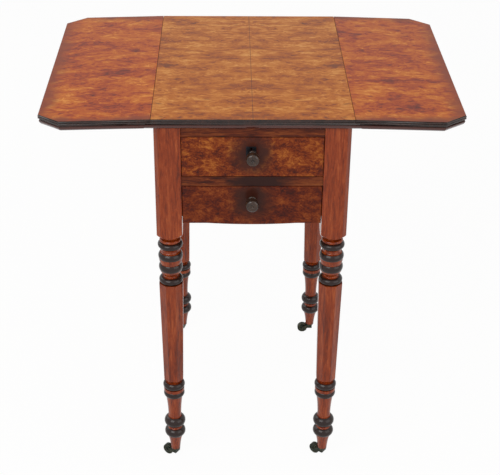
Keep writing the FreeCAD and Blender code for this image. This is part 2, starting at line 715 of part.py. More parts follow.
rail_x = ("-leg_inner", "leg_inner")
rail_y = ("front_y", "rail_back")
rail_shoulders = ("0", "panel_cheek", "tenon_shoulder")
tenoned("top_rail", "x", (rail_x, rail_y, ("rail_bottom", "underside")), rail_shoulders, [bolt_mortise])
tenoned("divider_rail", "x", (rail_x, rail_y, ("divider_bottom", "divider_top")), rail_shoulders)

panel_z = ("frieze_bottom", "underside")
back_spans = (rail_x, ("panel_front", "panel_back"), panel_z)
tenoned("back_panel", "x", back_spans, ("0", "panel_cheek", "panel_shoulder"))
side_y = ("-leg_back", "leg_back")
for side, x in (("left", ("-panel_outer", "-panel_inner")), ("right", ("panel_inner", "panel_outer"))):
    tenoned("side_panel_" + side, "y", (x, side_y, panel_z), ("panel_cheek", "0", "panel_shoulder"))

# ---------------------------------------------------------------- legs

LEGS = [
    ("front_left", "-leg_x", "-leg_y", 180),
    ("front_right", "leg_x", "-leg_y", 270),
    ("back_left", "-leg_x", "leg_y", 90),
    ("back_right", "leg_x", "leg_y", 0),
]


def octagon(name, width, height):
    """An octagon of that width across its flats, one flat facing the front."""
    polygon = document.addObject("Part::RegularPolygon", name)
    polygon.Polygon = 8
    bind(polygon, Circumradius=f"{width} / 2 / cos(22.5)")
    return place(polygon, z=height, turns=[("0; 0; 1", 22.5)])


def leg_pieces():
    """The parts of a leg's one stick of wood, on its own centre line."""
    upper, shaft_top = member_corners(UPPER_MEMBERS, "block_bottom - shoulder_length", "-")
    lower, shaft_bottom = member_corners(LOWER_MEMBERS, "foot_height", "+")
    head = "block_bottom - shoulder_length"
    upper_turning = turned("leg_upper_turning", [("0", head), *upper, ("0", shaft_top)])
    lower_turning = turned("leg_lower_turning", [("0", "foot_height"), *lower, ("0", shaft_bottom)])

    shaft = document.addObject("Part::Loft", "leg_shaft")
    lower_octagon = octagon("shaft_lower_end", "shaft_bottom_width", shaft_bottom)
    upper_octagon = octagon("shaft_upper_end", "shaft_top_width", shaft_top)
    shaft.Sections = [lower_octagon, upper_octagon]
    shaft.Solid = True
    shaft.Ruled = True

    half = ("-leg_size / 2", "leg_size / 2")
    square = block("leg_square", half, half, (head, "underside"))
    corner = "leg_size / 2 * sqrt(2)"
    pommel = [
        ("0", head),
        ("shoulder_radius", head),
        (corner, "block_bottom"),
        (corner, "underside"),
        ("0", "underside"),
    ]
    shouldered = document.addObject("Part::Common", "leg_shouldered")
    shouldered.Base = square
    shouldered.Tool = turned("leg_pommel", pommel)
    out = "leg_size / 2 + 1"
    near = "leg_size / 2 - leg_chamfer - 1"
    corner_waste = [(near, out), (out, near), (out, out)]
    waste = slab("leg_chamfer_waste", "XY_Plane", corner_waste, "4 * table_height")
    head_block = less("leg_block", shouldered, [waste])
    return [head_block, upper_turning, shaft, lower_turning]


leg_stick = leg_pieces()
for corner, x, y, turn in LEGS:
    blank = place(joined(f"leg_{corner}_stick", leg_stick), x, y, 0, [("0; 0; 1", turn)])
    keep("leg_" + corner, less("leg_" + corner, blank, tenons))

# ---------------------------------------------------------------- runners and kickers


def runner(name, sign, top):
    """The strip that carries one side of a drawer, with the guide beside it."""
    strip = ["runner_inner", "leg_inner"]
    guide = ["leg_inner", "panel_inner"]
    if sign == "-":
        strip = [f"-{x}" for x in reversed(strip)]
        guide = [f"-{x}" for x in reversed(guide)]
    foot = f"{top} - runner_thickness"
    strip_block = block(name + "_strip", strip, ("rail_back", "panel_front"), (foot, top))
    guide_block = block(name + "_guide", guide, side_y, (foot, f"{top} + guide_height"))
    keep(name, joined(name, [strip_block, guide_block]))


lower_runner_top = "frieze_bottom + lower_runner_rise"
for side, sign in (("left", "-"), ("right", "")):
    runner("upper_runner_" + side, sign, "divider_top")
    runner("lower_runner_" + side, sign, lower_runner_top)
    x = ["runner_inner", "leg_inner"] if sign == "" else ["-leg_inner", "-runner_inner"]
    strip = block(f"kicker_{side}_strip", x, ("rail_back", "panel_front"), ("rail_bottom", "underside"))
    holes = kicker_screws(f"kicker_{side}_holes", "screw_gap")
    keep("kicker_" + side, less("kicker_" + side, strip, [holes]))

# ---------------------------------------------------------------- drawers

front_back = "front_y + front_thickness"
drawer_end = "front_y + drawer_length"
front_half = "leg_inner - drawer_gap"
side_outer = "leg_inner - side_gap"
side_inner = f"{side_outer} - side_thickness"
board_edge = f"{side_inner} + groove_depth"


def drawer(name, front_outline, seat, top, knob_z, front_tools):
    """A drawer: front, two grooved sides, a bottom in the grooves, a back and a knob."""
    floor = (f"{seat} + bottom_rise", f"{seat} + bottom_rise + bottom_thickness")
    board = slab(name + "_front_board", "XZ_Plane", front_outline, "front_thickness")
    place(board, y="front_y + front_thickness / 2")
    groove_x = (f"-({board_edge})", board_edge)
    groove_y = (f"{front_back} - groove_depth", f"{front_back} + 1")
    groove = block(name + "_front_groove", groove_x, groove_y, floor)
    socket_start = ("0", "front_y - 1", knob_z)
    socket_radius = "spigot_radius + spigot_gap"
    socket = rod(name + "_knob_socket", socket_radius, "y", socket_start, "spigot_length + 1")
    keep(name + "_front", less(name + "_front", board, [groove, socket, *front_tools]))

    bottom_y = (f"{front_back} - groove_depth", drawer_end)
    for side, sign in (("left", "-"), ("right", "")):
        x = [side_inner, side_outer] if sign == "" else [f"-({side_outer})", f"-({side_inner})"]
        side_board = block(f"{name}_{side}_board", x, (front_back, drawer_end), (seat, top))
        cut = block(f"{name}_{side}_groove", groove_x, (front_back, f"{drawer_end} + 1"), floor)
        keep(f"{name}_side_{side}", less(f"{name}_side_{side}", side_board, [cut]))
    keep(name + "_bottom", block(name + "_bottom", groove_x, bottom_y, floor))
    back_x = (f"-({side_inner})", side_inner)
    back_y = (f"{drawer_end} - side_thickness", drawer_end)
    keep(name + "_back", block(name + "_back", back_x, back_y, (floor[1], f"{top} - back_drop")))
    knob(name + "_knob", knob_z)


def knob(name, z):
    """A turned knob, drawn standing on its spigot and laid over to face the front."""
    rim = "knob_length - knob_rim"
    neck = f"knob_collar_length + ({rim} - knob_collar_length) / 2"
    corners = [
        ("0", "-spigot_length"),
        ("spigot_radius", "-spigot_length"),
        ("spigot_radius", "0"),
        ("knob_collar_radius", "0"),
        ("knob_collar_radius", "knob_collar_length"),
        ("knob_neck_radius", "knob_collar_length"),
        ("knob_neck_radius", neck),
        ("knob_radius", rim),
        ("knob_radius", "knob_length - knob_rim / 3"),
        ("knob_dish_radius", "knob_length"),
        ("0", "knob_length - knob_dish_depth"),
    ]
    finished(name, turned(name + "_wood", corners), "0", "front_y", z, [("1; 0; 0", 90)])


def keyhole(name, x, z, y):
    """The opening for the key: a round over a slot."""
    reach = f"{y[1]} - ({y[0]})"
    top = rod(name + "_round", "keyhole_radius", "y", (x, y[0], f"{z} + keyhole_rise"), reach)
    across = (f"{x} - keyhole_slot / 2", f"{x} + keyhole_slot / 2")
    slot_top = f"{z} + keyhole_rise"
    slot = block(name + "_slot", across, y, (f"{slot_top} - keyhole_length", slot_top))
    return joined(name, [top, slot])


upper_foot = "divider_top + drawer_gap"
upper_top = "rail_bottom - drawer_gap"
upper_front = [
    (f"-({front_half})", upper_foot),
    (front_half, upper_foot),
    (front_half, upper_top),
    (f"-({front_half})", upper_top),
]
plate_z = f"{upper_foot} + escutcheon_height"
plate_x = ("escutcheon_offset - escutcheon_size / 2", "escutcheon_offset + escutcheon_size / 2")
plate_height = (f"{plate_z} - escutcheon_size / 2", f"{plate_z} + escutcheon_size / 2")
upper_knob_z = f"{upper_foot} + upper_knob_height"
recess_depth = ("front_y - 1", "front_y + escutcheon_thickness")
recess = block("escutcheon_recess", plate_x, recess_depth, plate_height)
case_x = ("escutcheon_offset - lock_width / 2", "escutcheon_offset + lock_width / 2")
case_y = f"{front_back} - lock_thickness"
case_z = f"{upper_top} - lock_height"
lock_recess = block("lock_recess", case_x, (case_y, f"{front_back} + 1"), (case_z, f"{upper_top} + 1"))
key_way = keyhole("key_way", "escutcheon_offset", plate_z, ("front_y - 1", front_back))
upper_seat = "divider_top + sliding_gap"
front_cuts = [recess, lock_recess, key_way]
drawer("upper_drawer", upper_front, upper_seat, "rail_bottom - side_drop", upper_knob_z, front_cuts)

plate = block("escutcheon_plate", plate_x, ("front_y", "front_y + escutcheon_thickness"), plate_height)
plate_hole = keyhole("escutcheon_keyhole", "escutcheon_offset", plate_z, ("front_y - 1", front_back))
knob_hole_start = ("0", "front_y - 1", upper_knob_z)
knob_hole_radius = "spigot_radius + spigot_gap"
knob_hole = rod("escutcheon_knob_hole", knob_hole_radius, "y", knob_hole_start, "front_thickness")
keep("escutcheon", less("escutcheon", plate, [plate_hole, knob_hole]))

case = block("lock_case_box", case_x, (case_y, front_back), (case_z, upper_top))
bolt_room_height = (f"{upper_top} - bolt_length - bolt_gap", f"{upper_top} + 1")
bolt_room = block("bolt_room", lock_wide, lock_deep, bolt_room_height)
case_hole = keyhole("lock_case_keyhole", "escutcheon_offset", plate_z, ("front_y - 1", lock_y))
keep("lock_case", less("lock_case", case, [bolt_room, case_hole]))
bolt_y = (f"{lock_y} - bolt_thickness / 2", f"{lock_y} + bolt_thickness / 2")
keep("lock_bolt", block("lock_bolt", lock_x, bolt_y, (f"{upper_top} - bolt_length", upper_top)))

lower_top = "divider_bottom - drawer_gap"
bow_radius = "(bow_width^2 / 4 + bow_depth^2) / (2 * bow_depth)"
lower_front = [
    (f"-({front_half})", "frieze_bottom"),
    ("-bow_width / 2", "frieze_bottom", "y", f"frieze_bottom - bow_depth + {bow_radius}"),
    ("bow_width / 2", "frieze_bottom"),
    (front_half, "frieze_bottom"),
    (front_half, lower_top),
    (f"-({front_half})", lower_top),
]
lower_knob_z = "frieze_bottom + lower_knob_height"
lower_seat = f"{lower_runner_top} + sliding_gap"
drawer("lower_drawer", lower_front, lower_seat, "divider_bottom - side_drop", lower_knob_z, [])

# ---------------------------------------------------------------- fly brackets

fly_bottom = "fly_top - fly_height"
knuckle_low = f"{fly_bottom} + fly_height / 3"
knuckle_high = f"{fly_bottom} + fly_height * 2 / 3"
fly_inner = "fly_face - fly_thickness"
pin_spot = ("fly_pin_x", "fly_pin_place")


def fly_bracket(side, turn):
    """The knuckle-jointed rail of one side: its fixed half, the bracket that swings out
    under the leaf, and their steel pin. Each half ends in a mitre so that it can turn."""
    name = "fly_rail_" + side
    mitre = "fly_pin_place - fly_thickness / 2"
    start = "fly_pin_place - fly_rail_length"
    outline = [
        ("panel_outer", start),
        ("fly_face", start),
        ("fly_face", mitre),
        ("fly_pin_x", "fly_pin_place"),
        ("panel_outer", "fly_pin_place"),
    ]
    board = slab(name + "_board", "XY_Plane", outline, "fly_height")
    place(board, z="fly_top - fly_height / 2")
    barrel = rod(name + "_barrel", "fly_thickness / 2", "z", (*pin_spot, fly_bottom), "fly_height")
    blank = joined(name + "_blank", [board, barrel])
    wide = "fly_thickness / 2 + fly_clearance"
    relief = rod(name + "_relief", wide, "z", (*pin_spot, knuckle_low), "fly_height / 3")
    hole_start = (*pin_spot, f"{fly_bottom} - 1")
    hole = rod(name + "_hole", "fly_pin_radius + pin_gap", "z", hole_start, "fly_height + 2")
    finished(name, less(name + "_wood", blank, [relief, hole]), turns=turn)

    name = "fly_bracket_" + side
    tip = "fly_pin_place + fly_length"
    outline = [
        (fly_inner, "fly_pin_place"),
        ("fly_pin_x", "fly_pin_place"),
        ("fly_face", "fly_pin_place + fly_thickness / 2"),
        ("fly_face", tip),
        (fly_inner, tip),
    ]
    plan = slab(name + "_plan", "XY_Plane", outline, "4 * table_height")
    level = "fly_pin_place + fly_out"
    profile = [
        ("fly_pin_place - fly_thickness", "fly_top"),
        (level, "fly_top"),
        (tip, "fly_top - fly_fall"),
        (tip, "fly_top - fly_fall - fly_tip_height", "x", tip),
        ("fly_pin_place + 2.5 * fly_thickness", fly_bottom),
        ("fly_pin_place - fly_thickness", fly_bottom),
    ]
    elevation = slab(name + "_elevation", "YZ_Plane", profile, "open_width")
    arm = document.addObject("Part::Common", name + "_arm")
    arm.Base = plan
    arm.Tool = elevation
    knuckle = rod(name + "_knuckle", "fly_thickness / 2", "z", (*pin_spot, fly_bottom), "fly_height")
    blank = joined(name + "_blank", [arm, knuckle])
    low_start = (*pin_spot, f"{fly_bottom} - 1")
    low = rod(name + "_low", wide, "z", low_start, "fly_height / 3 + fly_clearance + 1")
    high = rod(name + "_high", wide, "z", (*pin_spot, f"{knuckle_high} - fly_clearance"), "fly_height")
    finished(name, less(name + "_wood", blank, [low, high, hole]), turns=turn)
    pin = rod(f"{side}_fly_pin", "fly_pin_radius", "z", (*pin_spot, fly_bottom), "fly_height")
    return place(grouped(f"{side}_fly_pin_turned", [pin]), turns=turn)


keep("fly_pins", grouped("fly_pins", [fly_bracket(*side) for side in SIDES.items()]))

# ---------------------------------------------------------------- castors

horn_height = ("horn_floor", "horn_top")


def castor_cap(corner, x, y):
    """The plate under a foot, with the swivel pin that hangs from it."""
    name = f"castor_cap_{corner}"
    plate_start = ("0", "0", "foot_height - cap_thickness")
    plate = rod(name + "_plate", "foot_radius", "z", plate_start, "cap_thickness")
    head_top = "horn_floor - castor_gap"
    stem = rod(name + "_stem", "stem_radius", "z", ("0", "0", head_top), f"foot_height - ({head_top})")
    head_start = ("0", "0", f"{head_top} - stem_head_length")
    head = rod(name + "_head", "stem_head_radius", "z", head_start, "stem_head_length")
    return place(joined(name, [plate, stem, head]), x, y)


def castor(corner, x, y):
    """A castor's horn, wheel and axle, trailing from the foot's centre line."""
    turn = [("0; 0; 1", corner + "_turn")]
    name = f"castor_{corner}"
    outline = [
        ("-horn_half_width", "horn_floor"),
        ("horn_half_width", "horn_floor"),
        ("wheel_trail", "wheel_radius - horn_eye_radius"),
        ("wheel_trail", "wheel_radius + horn_eye_radius"),
        ("horn_half_width", "horn_top"),
        ("-horn_half_width", "horn_top"),
    ]
    arms = slab(name + "_arms", "XZ_Plane", outline, "2 * cheek_outer")
    axle_line = ("wheel_trail", "-cheek_outer", "wheel_radius")
    eyes = rod(name + "_eyes", "horn_eye_radius", "y", axle_line, "2 * cheek_outer")
    blank = joined(name + "_blank", [arms, eyes])
    fork = ("horn_half_width", "2 * wheel_trail")
    slot = block(name + "_slot", fork, ("-cheek_inner", "cheek_inner"), ("0", "2 * horn_top"))
    swivel = rod(name + "_swivel", "stem_radius + pin_gap", "z", ("0", "0", "0"), "2 * horn_top")
    bore = rod(name + "_bore", "axle_radius + pin_gap / 2", "y", axle_line, "2 * cheek_outer")
    finished(name + "_horn", less(name + "_horn_brass", blank, [slot, swivel, bore]), x, y, 0, turn)

    bevel = "wheel_radius - wheel_width / 8"
    edge = "wheel_width / 2 - wheel_width / 8"
    tread = [
        ("axle_radius + wheel_bore_gap", "-wheel_width / 2"),
        (bevel, "-wheel_width / 2"),
        ("wheel_radius", f"-({edge})"),
        ("wheel_radius", edge),
        (bevel, "wheel_width / 2"),
        ("axle_radius + wheel_bore_gap", "wheel_width / 2"),
    ]
    wheel = place(turned(name + "_tread", tread), "wheel_trail", 0, "wheel_radius", [("1; 0; 0", 90)])
    finished(name + "_wheel", wheel, x, y, 0, turn)

    shank_start = ("wheel_trail", "-cheek_outer - axle_head_length", "wheel_radius")
    shank_length = "2 * cheek_outer + 2 * axle_head_length"
    shank = rod(name + "_shank", "axle_radius", "y", shank_start, shank_length)
    heads = [rod(name + "_head_a", "axle_head_radius", "y", shank_start, "axle_head_length")]
    far = ("wheel_trail", "cheek_outer", "wheel_radius")
    heads.append(rod(name + "_head_b", "axle_head_radius", "y", far, "axle_head_length"))
    finished(name + "_axle", joined(name + "_axle_brass", [shank, *heads]), x, y, 0, turn)


for corner, x, y, turn in LEGS:
    castor(corner, x, y)
keep("castor_caps", grouped("castor_caps", [castor_cap(corner, x, y) for corner, x, y, turn in LEGS]))

# ---------------------------------------------------------------- check and write

document.recompute()
for thing in document.Objects:
    if "Invalid" in thing.State or "Error" in thing.State:
        raise RuntimeError(f"{thing.Name} failed: {thing.State}")
for name, thing in nodes.items():
    if thing.Shape.isNull() or not thing.Shape.isValid() or not thing.Shape.Solids:
        raise RuntimeError(f"{name} has no valid solid")

os.makedirs("parts", exist_ok=True)
for name, thing in nodes.items():
    thing.Shape.exportStep(f"parts/{name}.step")
print(len(nodes), "pieces")
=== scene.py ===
# %% [markdown]
# # A drop-leaf sewing table in burr walnut
#
# The table is a small walnut box on four turned legs, with two drawers in front and a leaf
# hinged to each side of its top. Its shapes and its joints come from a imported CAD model,
# which is loaded first as a fixed frame. Everything else here gives that frame its looks:
# rounder turned pieces, eased edges, polish, veneer and age. Lengths in the tables of
# turned pieces are in millimetres and become metres once, where a mesh is made. Other
# lengths are in metres, or say MM.

import json

import bmesh
import bpy
import numpy as np
from mathutils import Matrix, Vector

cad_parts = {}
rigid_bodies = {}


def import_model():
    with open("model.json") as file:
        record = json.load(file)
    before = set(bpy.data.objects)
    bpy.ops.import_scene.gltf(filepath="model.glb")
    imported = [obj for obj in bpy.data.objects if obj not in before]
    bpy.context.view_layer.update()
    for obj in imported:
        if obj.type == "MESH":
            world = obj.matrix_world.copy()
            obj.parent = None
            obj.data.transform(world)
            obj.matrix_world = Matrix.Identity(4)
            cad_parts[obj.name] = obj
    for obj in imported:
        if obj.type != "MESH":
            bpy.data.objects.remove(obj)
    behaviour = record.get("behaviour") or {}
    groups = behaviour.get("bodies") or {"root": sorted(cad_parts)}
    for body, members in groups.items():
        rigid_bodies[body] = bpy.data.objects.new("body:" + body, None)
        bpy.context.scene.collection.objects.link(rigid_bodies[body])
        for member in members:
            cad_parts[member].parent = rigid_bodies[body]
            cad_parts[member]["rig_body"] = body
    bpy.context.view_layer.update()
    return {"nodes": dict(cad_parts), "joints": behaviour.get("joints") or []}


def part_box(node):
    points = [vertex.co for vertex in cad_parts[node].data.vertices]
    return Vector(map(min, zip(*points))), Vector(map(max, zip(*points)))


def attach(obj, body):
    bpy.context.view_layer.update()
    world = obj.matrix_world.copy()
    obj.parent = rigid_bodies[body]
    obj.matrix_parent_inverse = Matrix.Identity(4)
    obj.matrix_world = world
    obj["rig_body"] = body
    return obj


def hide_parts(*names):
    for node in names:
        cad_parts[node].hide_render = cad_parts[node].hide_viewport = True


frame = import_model()
MM = 0.001

# %% [markdown]
# ## The camera
#
# The camera stands in front of the table, above it, and looks down at thirty degrees. It
# could be aimed at an empty with a constraint, but a matrix built from its three
# directions also holds its slight roll, and nothing has to be evaluated first. The lens is
# long, so the leaves keep their shape towards the corners of the view.

# %% Aim the camera
CAMERA_PLACE = np.array([-40.3, -2029.2, 1545.6]) * MM
CAMERA_PITCH = np.radians(30.17)
CAMERA_YAW = np.radians(-1.19)
CAMERA_ROLL = np.radians(-0.61)
LENS = 88.2

ahead = np.array([-np.sin(CAMERA_YAW), np.cos(CAMERA_YAW), 0])
side = np.array([np.cos(CAMERA_YAW), np.sin(CAMERA_YAW), 0])
level = np.array([0, 0, 1])
look = np.cos(CAMERA_PITCH) * ahead - np.sin(CAMERA_PITCH) * level
above = np.sin(CAMERA_PITCH) * ahead + np.cos(CAMERA_PITCH) * level
right = np.cos(CAMERA_ROLL) * side - np.sin(CAMERA_ROLL) * above
up = np.cos(CAMERA_ROLL) * above + np.sin(CAMERA_ROLL) * side

camera = bpy.data.objects.new("camera", bpy.data.cameras.new("camera"))
bpy.context.scene.collection.objects.link(camera)
camera.data.lens = LENS
turn = np.eye(4)
turn[:3, 0], turn[:3, 1], turn[:3, 2], turn[:3, 3] = right, up, -look, CAMERA_PLACE
camera.matrix_world = Matrix(turn)
bpy.context.scene.camera = camera
print("camera looks along", look.round(3))

# %% [markdown]
# ## Colours and nodes
#
# Colours are written as the hex values of a paint chart, which are sRGB, while the shaders
# work in linear light, so one function changes them over. Materials are networks of nodes.
# Adding each by hand takes several lines, so one small function adds a node, gives it its
# settings and joins its inputs.

# %% Colour and node helpers
def tone(hex_value):
    """Linear colour of an sRGB hex value: a channel c becomes ((c + 0.055) / 1.055) to the
    power 2.4, or c / 12.92 where c is dark."""
    channels = np.array([int(hex_value[i : i + 2], 16) for i in (1, 3, 5)]) / 255
    linear = np.where(channels <= 0.04045, channels / 12.92, ((channels + 0.055) / 1.055) ** 2.4)
    return (*linear, 1)


def add(nodes, kind, settings=(), links=()):
    """Adds a node. Settings are input values, properties or a ramp's stops, and links give
    the socket that feeds each input."""
    node = nodes.new(kind)
    for key, value in dict(settings).items():
        if key == "stops":
            ramp = node.color_ramp
            while len(ramp.elements) < len(value):
                ramp.elements.new(0.5)
            for element, (position, colour) in zip(ramp.elements, value):
                element.position = position
                element.color = colour
        elif isinstance(key, int) or key in node.inputs:
            node.inputs[key].default_value = value
        else:
            setattr(node, key, value)
    for key, source in dict(links).items():
        nodes.id_data.links.new(source, node.inputs[key])
    return node


def start_material(name):
    """An empty material: its nodes, the place of each point on the object, and its shader."""
    material = bpy.data.materials.new(name)
    material.use_nodes = True
    nodes = material.node_tree.nodes
    shader = nodes["Principled BSDF"]
    place = add(nodes, "ShaderNodeTexCoord").outputs["Object"]
    return material, nodes, place, shader


MIX_FACTOR, MIX_A, MIX_B, MIX_RESULT = 0, 6, 7, 2
BLACK, WHITE = (0, 0, 0, 1), (1, 1, 1, 1)
print("walnut brown in linear light", np.round(tone("#7a3a1b"), 3))

# %% [markdown]
# ## Polished walnut
#
# Burr walnut is cut from growths on the trunk, where the grain has no direction. It shows
# as soft clouds of light and dark a few centimetres across, finer swirls inside them, and
# small dark eyes that gather in groups. French polish fills the pores and leaves a thin
# glossy skin, which a clear coat over the wood stands for.
#
# The clouds could be painted, but a noise texture read at the object's own place keeps its
# scale in millimetres and has no seam. Each tone of the ramp is one the wood really has.
# Straight wood, as in the legs, is the same recipe drawn out along its grain.

# %% A recipe for polished walnut
# Old polish is dull below its skin, so the wood itself reflects only a little.
POLISH_LEVEL = 0.1
# The noise values at which the darkest and the lightest tone are reached.
FIGURE_LOW, FIGURE_HIGH = 0.38, 0.62
FINE_SHARE = 0.5


def walnut(name, tones, stretch, cloud, swirl, eyes, roughness, coat, matched=False):
    """Polished walnut. The figure is half a coarse and half a fine noise, looked up where a
    third noise has pushed the point aside; tones run from dark to light. Stretch draws it
    out along the grain, cloud and swirl are the sizes in millimetres, and eyes is how
    strongly the dark spots show. A matched veneer is the same either side of x = 0."""
    material, nodes, place, shader = start_material(name)
    if matched:
        lifted = add(nodes, "ShaderNodeMapping", {"Location": (0, 1, 1)}, {"Vector": place})
        mirrored = {"operation": "ABSOLUTE"}
        place = add(nodes, "ShaderNodeVectorMath", mirrored, {0: lifted.outputs[0]}).outputs[0]
    drawn = add(nodes, "ShaderNodeMapping", {"Scale": stretch}, {"Vector": place}).outputs[0]
    settings = {"Scale": 1 / (1.6 * cloud * MM), "Detail": 3}
    push = add(nodes, "ShaderNodeTexNoise", settings, {"Vector": drawn})
    reach = cloud * MM * 0.9
    settings = {"operation": "MULTIPLY_ADD", 1: (reach, reach, reach)}
    bent = add(nodes, "ShaderNodeVectorMath", settings, {0: push.outputs["Color"], 2: drawn}).outputs[0]

    settings = {"Scale": 1 / (cloud * MM), "Detail": 6, "Roughness": 0.62}
    clouds = add(nodes, "ShaderNodeTexNoise", settings, {"Vector": bent})
    settings = {"Scale": 1 / (swirl * MM), "Detail": 6, "Roughness": 0.7, "Distortion": 0.9}
    swirls = add(nodes, "ShaderNodeTexNoise", settings, {"Vector": bent})
    coarse = {"operation": "MULTIPLY", 1: 1 - FINE_SHARE}
    low = add(nodes, "ShaderNodeMath", coarse, {0: clouds.outputs[0]})
    fine = {"operation": "MULTIPLY_ADD", 1: FINE_SHARE}
    figure = add(nodes, "ShaderNodeMath", fine, {0: swirls.outputs[0], 2: low.outputs[0]}).outputs[0]
    steps = np.linspace(FIGURE_LOW, FIGURE_HIGH, len(tones))
    stops = [(step, tone(colour)) for step, colour in zip(steps, tones)]
    wood = add(nodes, "ShaderNodeValToRGB", {"stops": stops}, {"Fac": figure}).outputs["Color"]

    settings = {"Scale": 1 / (0.42 * cloud * MM)}
    cells = add(nodes, "ShaderNodeTexVoronoi", settings, {"Vector": bent})
    spot = {"stops": [(0.05, WHITE), (0.2, BLACK)]}
    spots = add(nodes, "ShaderNodeValToRGB", spot, {"Fac": cells.outputs["Distance"]})
    settings = {"Scale": 1 / (2.4 * cloud * MM), "Detail": 2}
    groups = add(nodes, "ShaderNodeTexNoise", settings, {"Vector": drawn})
    gather = {"stops": [(0.5, BLACK), (0.62, (eyes, eyes, eyes, 1))]}
    gathered = add(nodes, "ShaderNodeValToRGB", gather, {"Fac": groups.outputs[0]})
    links = {0: spots.outputs["Color"], 1: gathered.outputs["Color"]}
    eye = add(nodes, "ShaderNodeMath", {"operation": "MULTIPLY"}, links).outputs[0]
    settings = {"data_type": "RGBA", MIX_B: tone(tones[0])}
    wood = add(nodes, "ShaderNodeMix", settings, {MIX_FACTOR: eye, MIX_A: wood}).outputs[MIX_RESULT]

    worn = {"To Min": roughness - 0.06, "To Max": roughness + 0.1}
    wear = add(nodes, "ShaderNodeMapRange", worn, {"Value": figure}).outputs[0]
    dents = {"Strength": 0.25, "Distance": 0.15 * MM}
    skin = add(nodes, "ShaderNodeBump", dents, {"Height": swirls.outputs[0]}).outputs[0]
    polish = {"Coat Weight": coat, "Coat Roughness": 0.1, "IOR": 1.5, "Specular IOR Level": POLISH_LEVEL}
    for socket, setting in polish.items():
        shader.inputs[socket].default_value = setting
    for socket, source in (("Base Color", wood), ("Roughness", wear), ("Normal", skin)):
        nodes.id_data.links.new(source, shader.inputs[socket])
    return material


print("a recipe with", round(FINE_SHARE * 100), "percent fine figure")

# %% Ways to lay one colour over another
def blend_in(material, factor, colour):
    """Lays a colour over what a material's base colour already is, by a factor socket."""
    nodes = material.node_tree.nodes
    base = nodes["Principled BSDF"].inputs["Base Color"]
    links = {MIX_FACTOR: factor, MIX_A: base.links[0].from_socket}
    settings = {"data_type": "RGBA", MIX_B: tone(colour)}
    laid = add(nodes, "ShaderNodeMix", settings, links).outputs[MIX_RESULT]
    nodes.id_data.links.new(laid, base)


def cloudy_edge(material, value, near, far, ragged, patch):
    """A factor that rises from 0 to 1 as value goes from near to far, with a ragged edge:
    a noise of the patch size in millimetres is added to value before it is read."""
    nodes = material.node_tree.nodes
    place = nodes["Texture Coordinate"].outputs["Object"]
    noise = add(nodes, "ShaderNodeTexNoise", {"Scale": 1 / (patch * MM), "Detail": 4}, {"Vector": place})
    settings = {"operation": "MULTIPLY_ADD", 1: ragged}
    rough = add(nodes, "ShaderNodeMath", settings, {0: noise.outputs[0], 2: value}).outputs[0]
    settings = {"From Min": near + ragged / 2, "From Max": far + ragged / 2}
    settings["interpolation_type"] = "SMOOTHSTEP"
    return add(nodes, "ShaderNodeMapRange", settings, {"Value": rough}).outputs[0]


# %% Veneers of the top, the leaves and the drawers
BURR_TOP = ["#5e2c0a", "#8c4208", "#aa5c0c", "#bc742a", "#cc8c44"]
BURR_LEAF = ["#5a1a06", "#8a2e06", "#aa4c08", "#b96414", "#cf8436"]
BURR_DRAWER = ["#34110a", "#511b08", "#6e2b09", "#874416", "#a25f24"]
BURR_LOWER = ["#2a0c06", "#421106", "#5a1e03", "#6e2e0c", "#804117"]
ALONG_X = (0.55, 1.25, 1)

top_veneer = walnut("burr_walnut_veneer_golden", BURR_TOP, ALONG_X, 46, 9, 0.75, 0.4, 0.1, matched=True)
leaf_veneer = walnut("burr_walnut_veneer_red", BURR_LEAF, ALONG_X, 46, 8, 0.8, 0.4, 0.1)
drawer_veneer = walnut("burr_walnut_veneer_brown", BURR_DRAWER, (0.8, 1, 1.2), 26, 5, 0.9, 0.38, 0.12)
lower_veneer = walnut("burr_walnut_veneer_dark", BURR_LOWER, (0.8, 1, 1.2), 24, 5, 0.8, 0.38, 0.12)
print("veneers", [m.name for m in bpy.data.materials if m.name.startswith("burr")])

# %% [markdown]
# The veneer has aged unevenly: the leaves are darkest and reddest near their outer edges,
# where light and hands reached them. The drawer fronts are darker round the knobs, and the
# rail below the upper drawer is darker in its middle. Each of these is a colour laid over the
# veneer by distance from an edge or a point, with a noise that keeps its border ragged.
# The two halves of the top's veneer meet at a dark joint.

# %% Age of the leaves and of the top
MIDDLE_Y = sum(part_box("centre_top")[i].y for i in (0, 1)) / 2


def distance_out(material, axis, middle):
    """How far a point lies from the middle along x or y, in metres, as a socket."""
    nodes = material.node_tree.nodes
    place = nodes["Texture Coordinate"].outputs["Object"]
    parts = add(nodes, "ShaderNodeSeparateXYZ", (), {0: place})
    moved = add(nodes, "ShaderNodeMath", {"operation": "SUBTRACT", 1: middle}, {0: parts.outputs[axis]})
    return add(nodes, "ShaderNodeMath", {"operation": "ABSOLUTE"}, {0: moved.outputs[0]}).outputs[0]


# Where the darker age starts and where it is full, in metres from the middle.
AGED_OUT_X, AGED_OUT_Y = (0.315, 0.352), (0.215, 0.245)
AGED_RAGGED, AGED_PATCH = 0.05, 40
out_x = distance_out(leaf_veneer, "X", 0)
out_y = distance_out(leaf_veneer, "Y", MIDDLE_Y)
for out, (start, full), colour in ((out_x, AGED_OUT_X, "#7d3518"), (out_y, AGED_OUT_Y, "#74331b")):
    aged = cloudy_edge(leaf_veneer, out, start, full, AGED_RAGGED, AGED_PATCH)
    blend_in(leaf_veneer, aged, colour)

JOINT_HALF = 0.45 * MM
across = distance_out(top_veneer, "X", 0)
nodes = top_veneer.node_tree.nodes
settings = {"From Min": 0, "From Max": 2 * JOINT_HALF, "To Min": 0.85, "To Max": 0}
joint_line = add(nodes, "ShaderNodeMapRange", settings, {"Value": across}).outputs[0]
blend_in(top_veneer, joint_line, "#4a2614")
print("veneer joint", 2 * JOINT_HALF / MM, "mm wide")
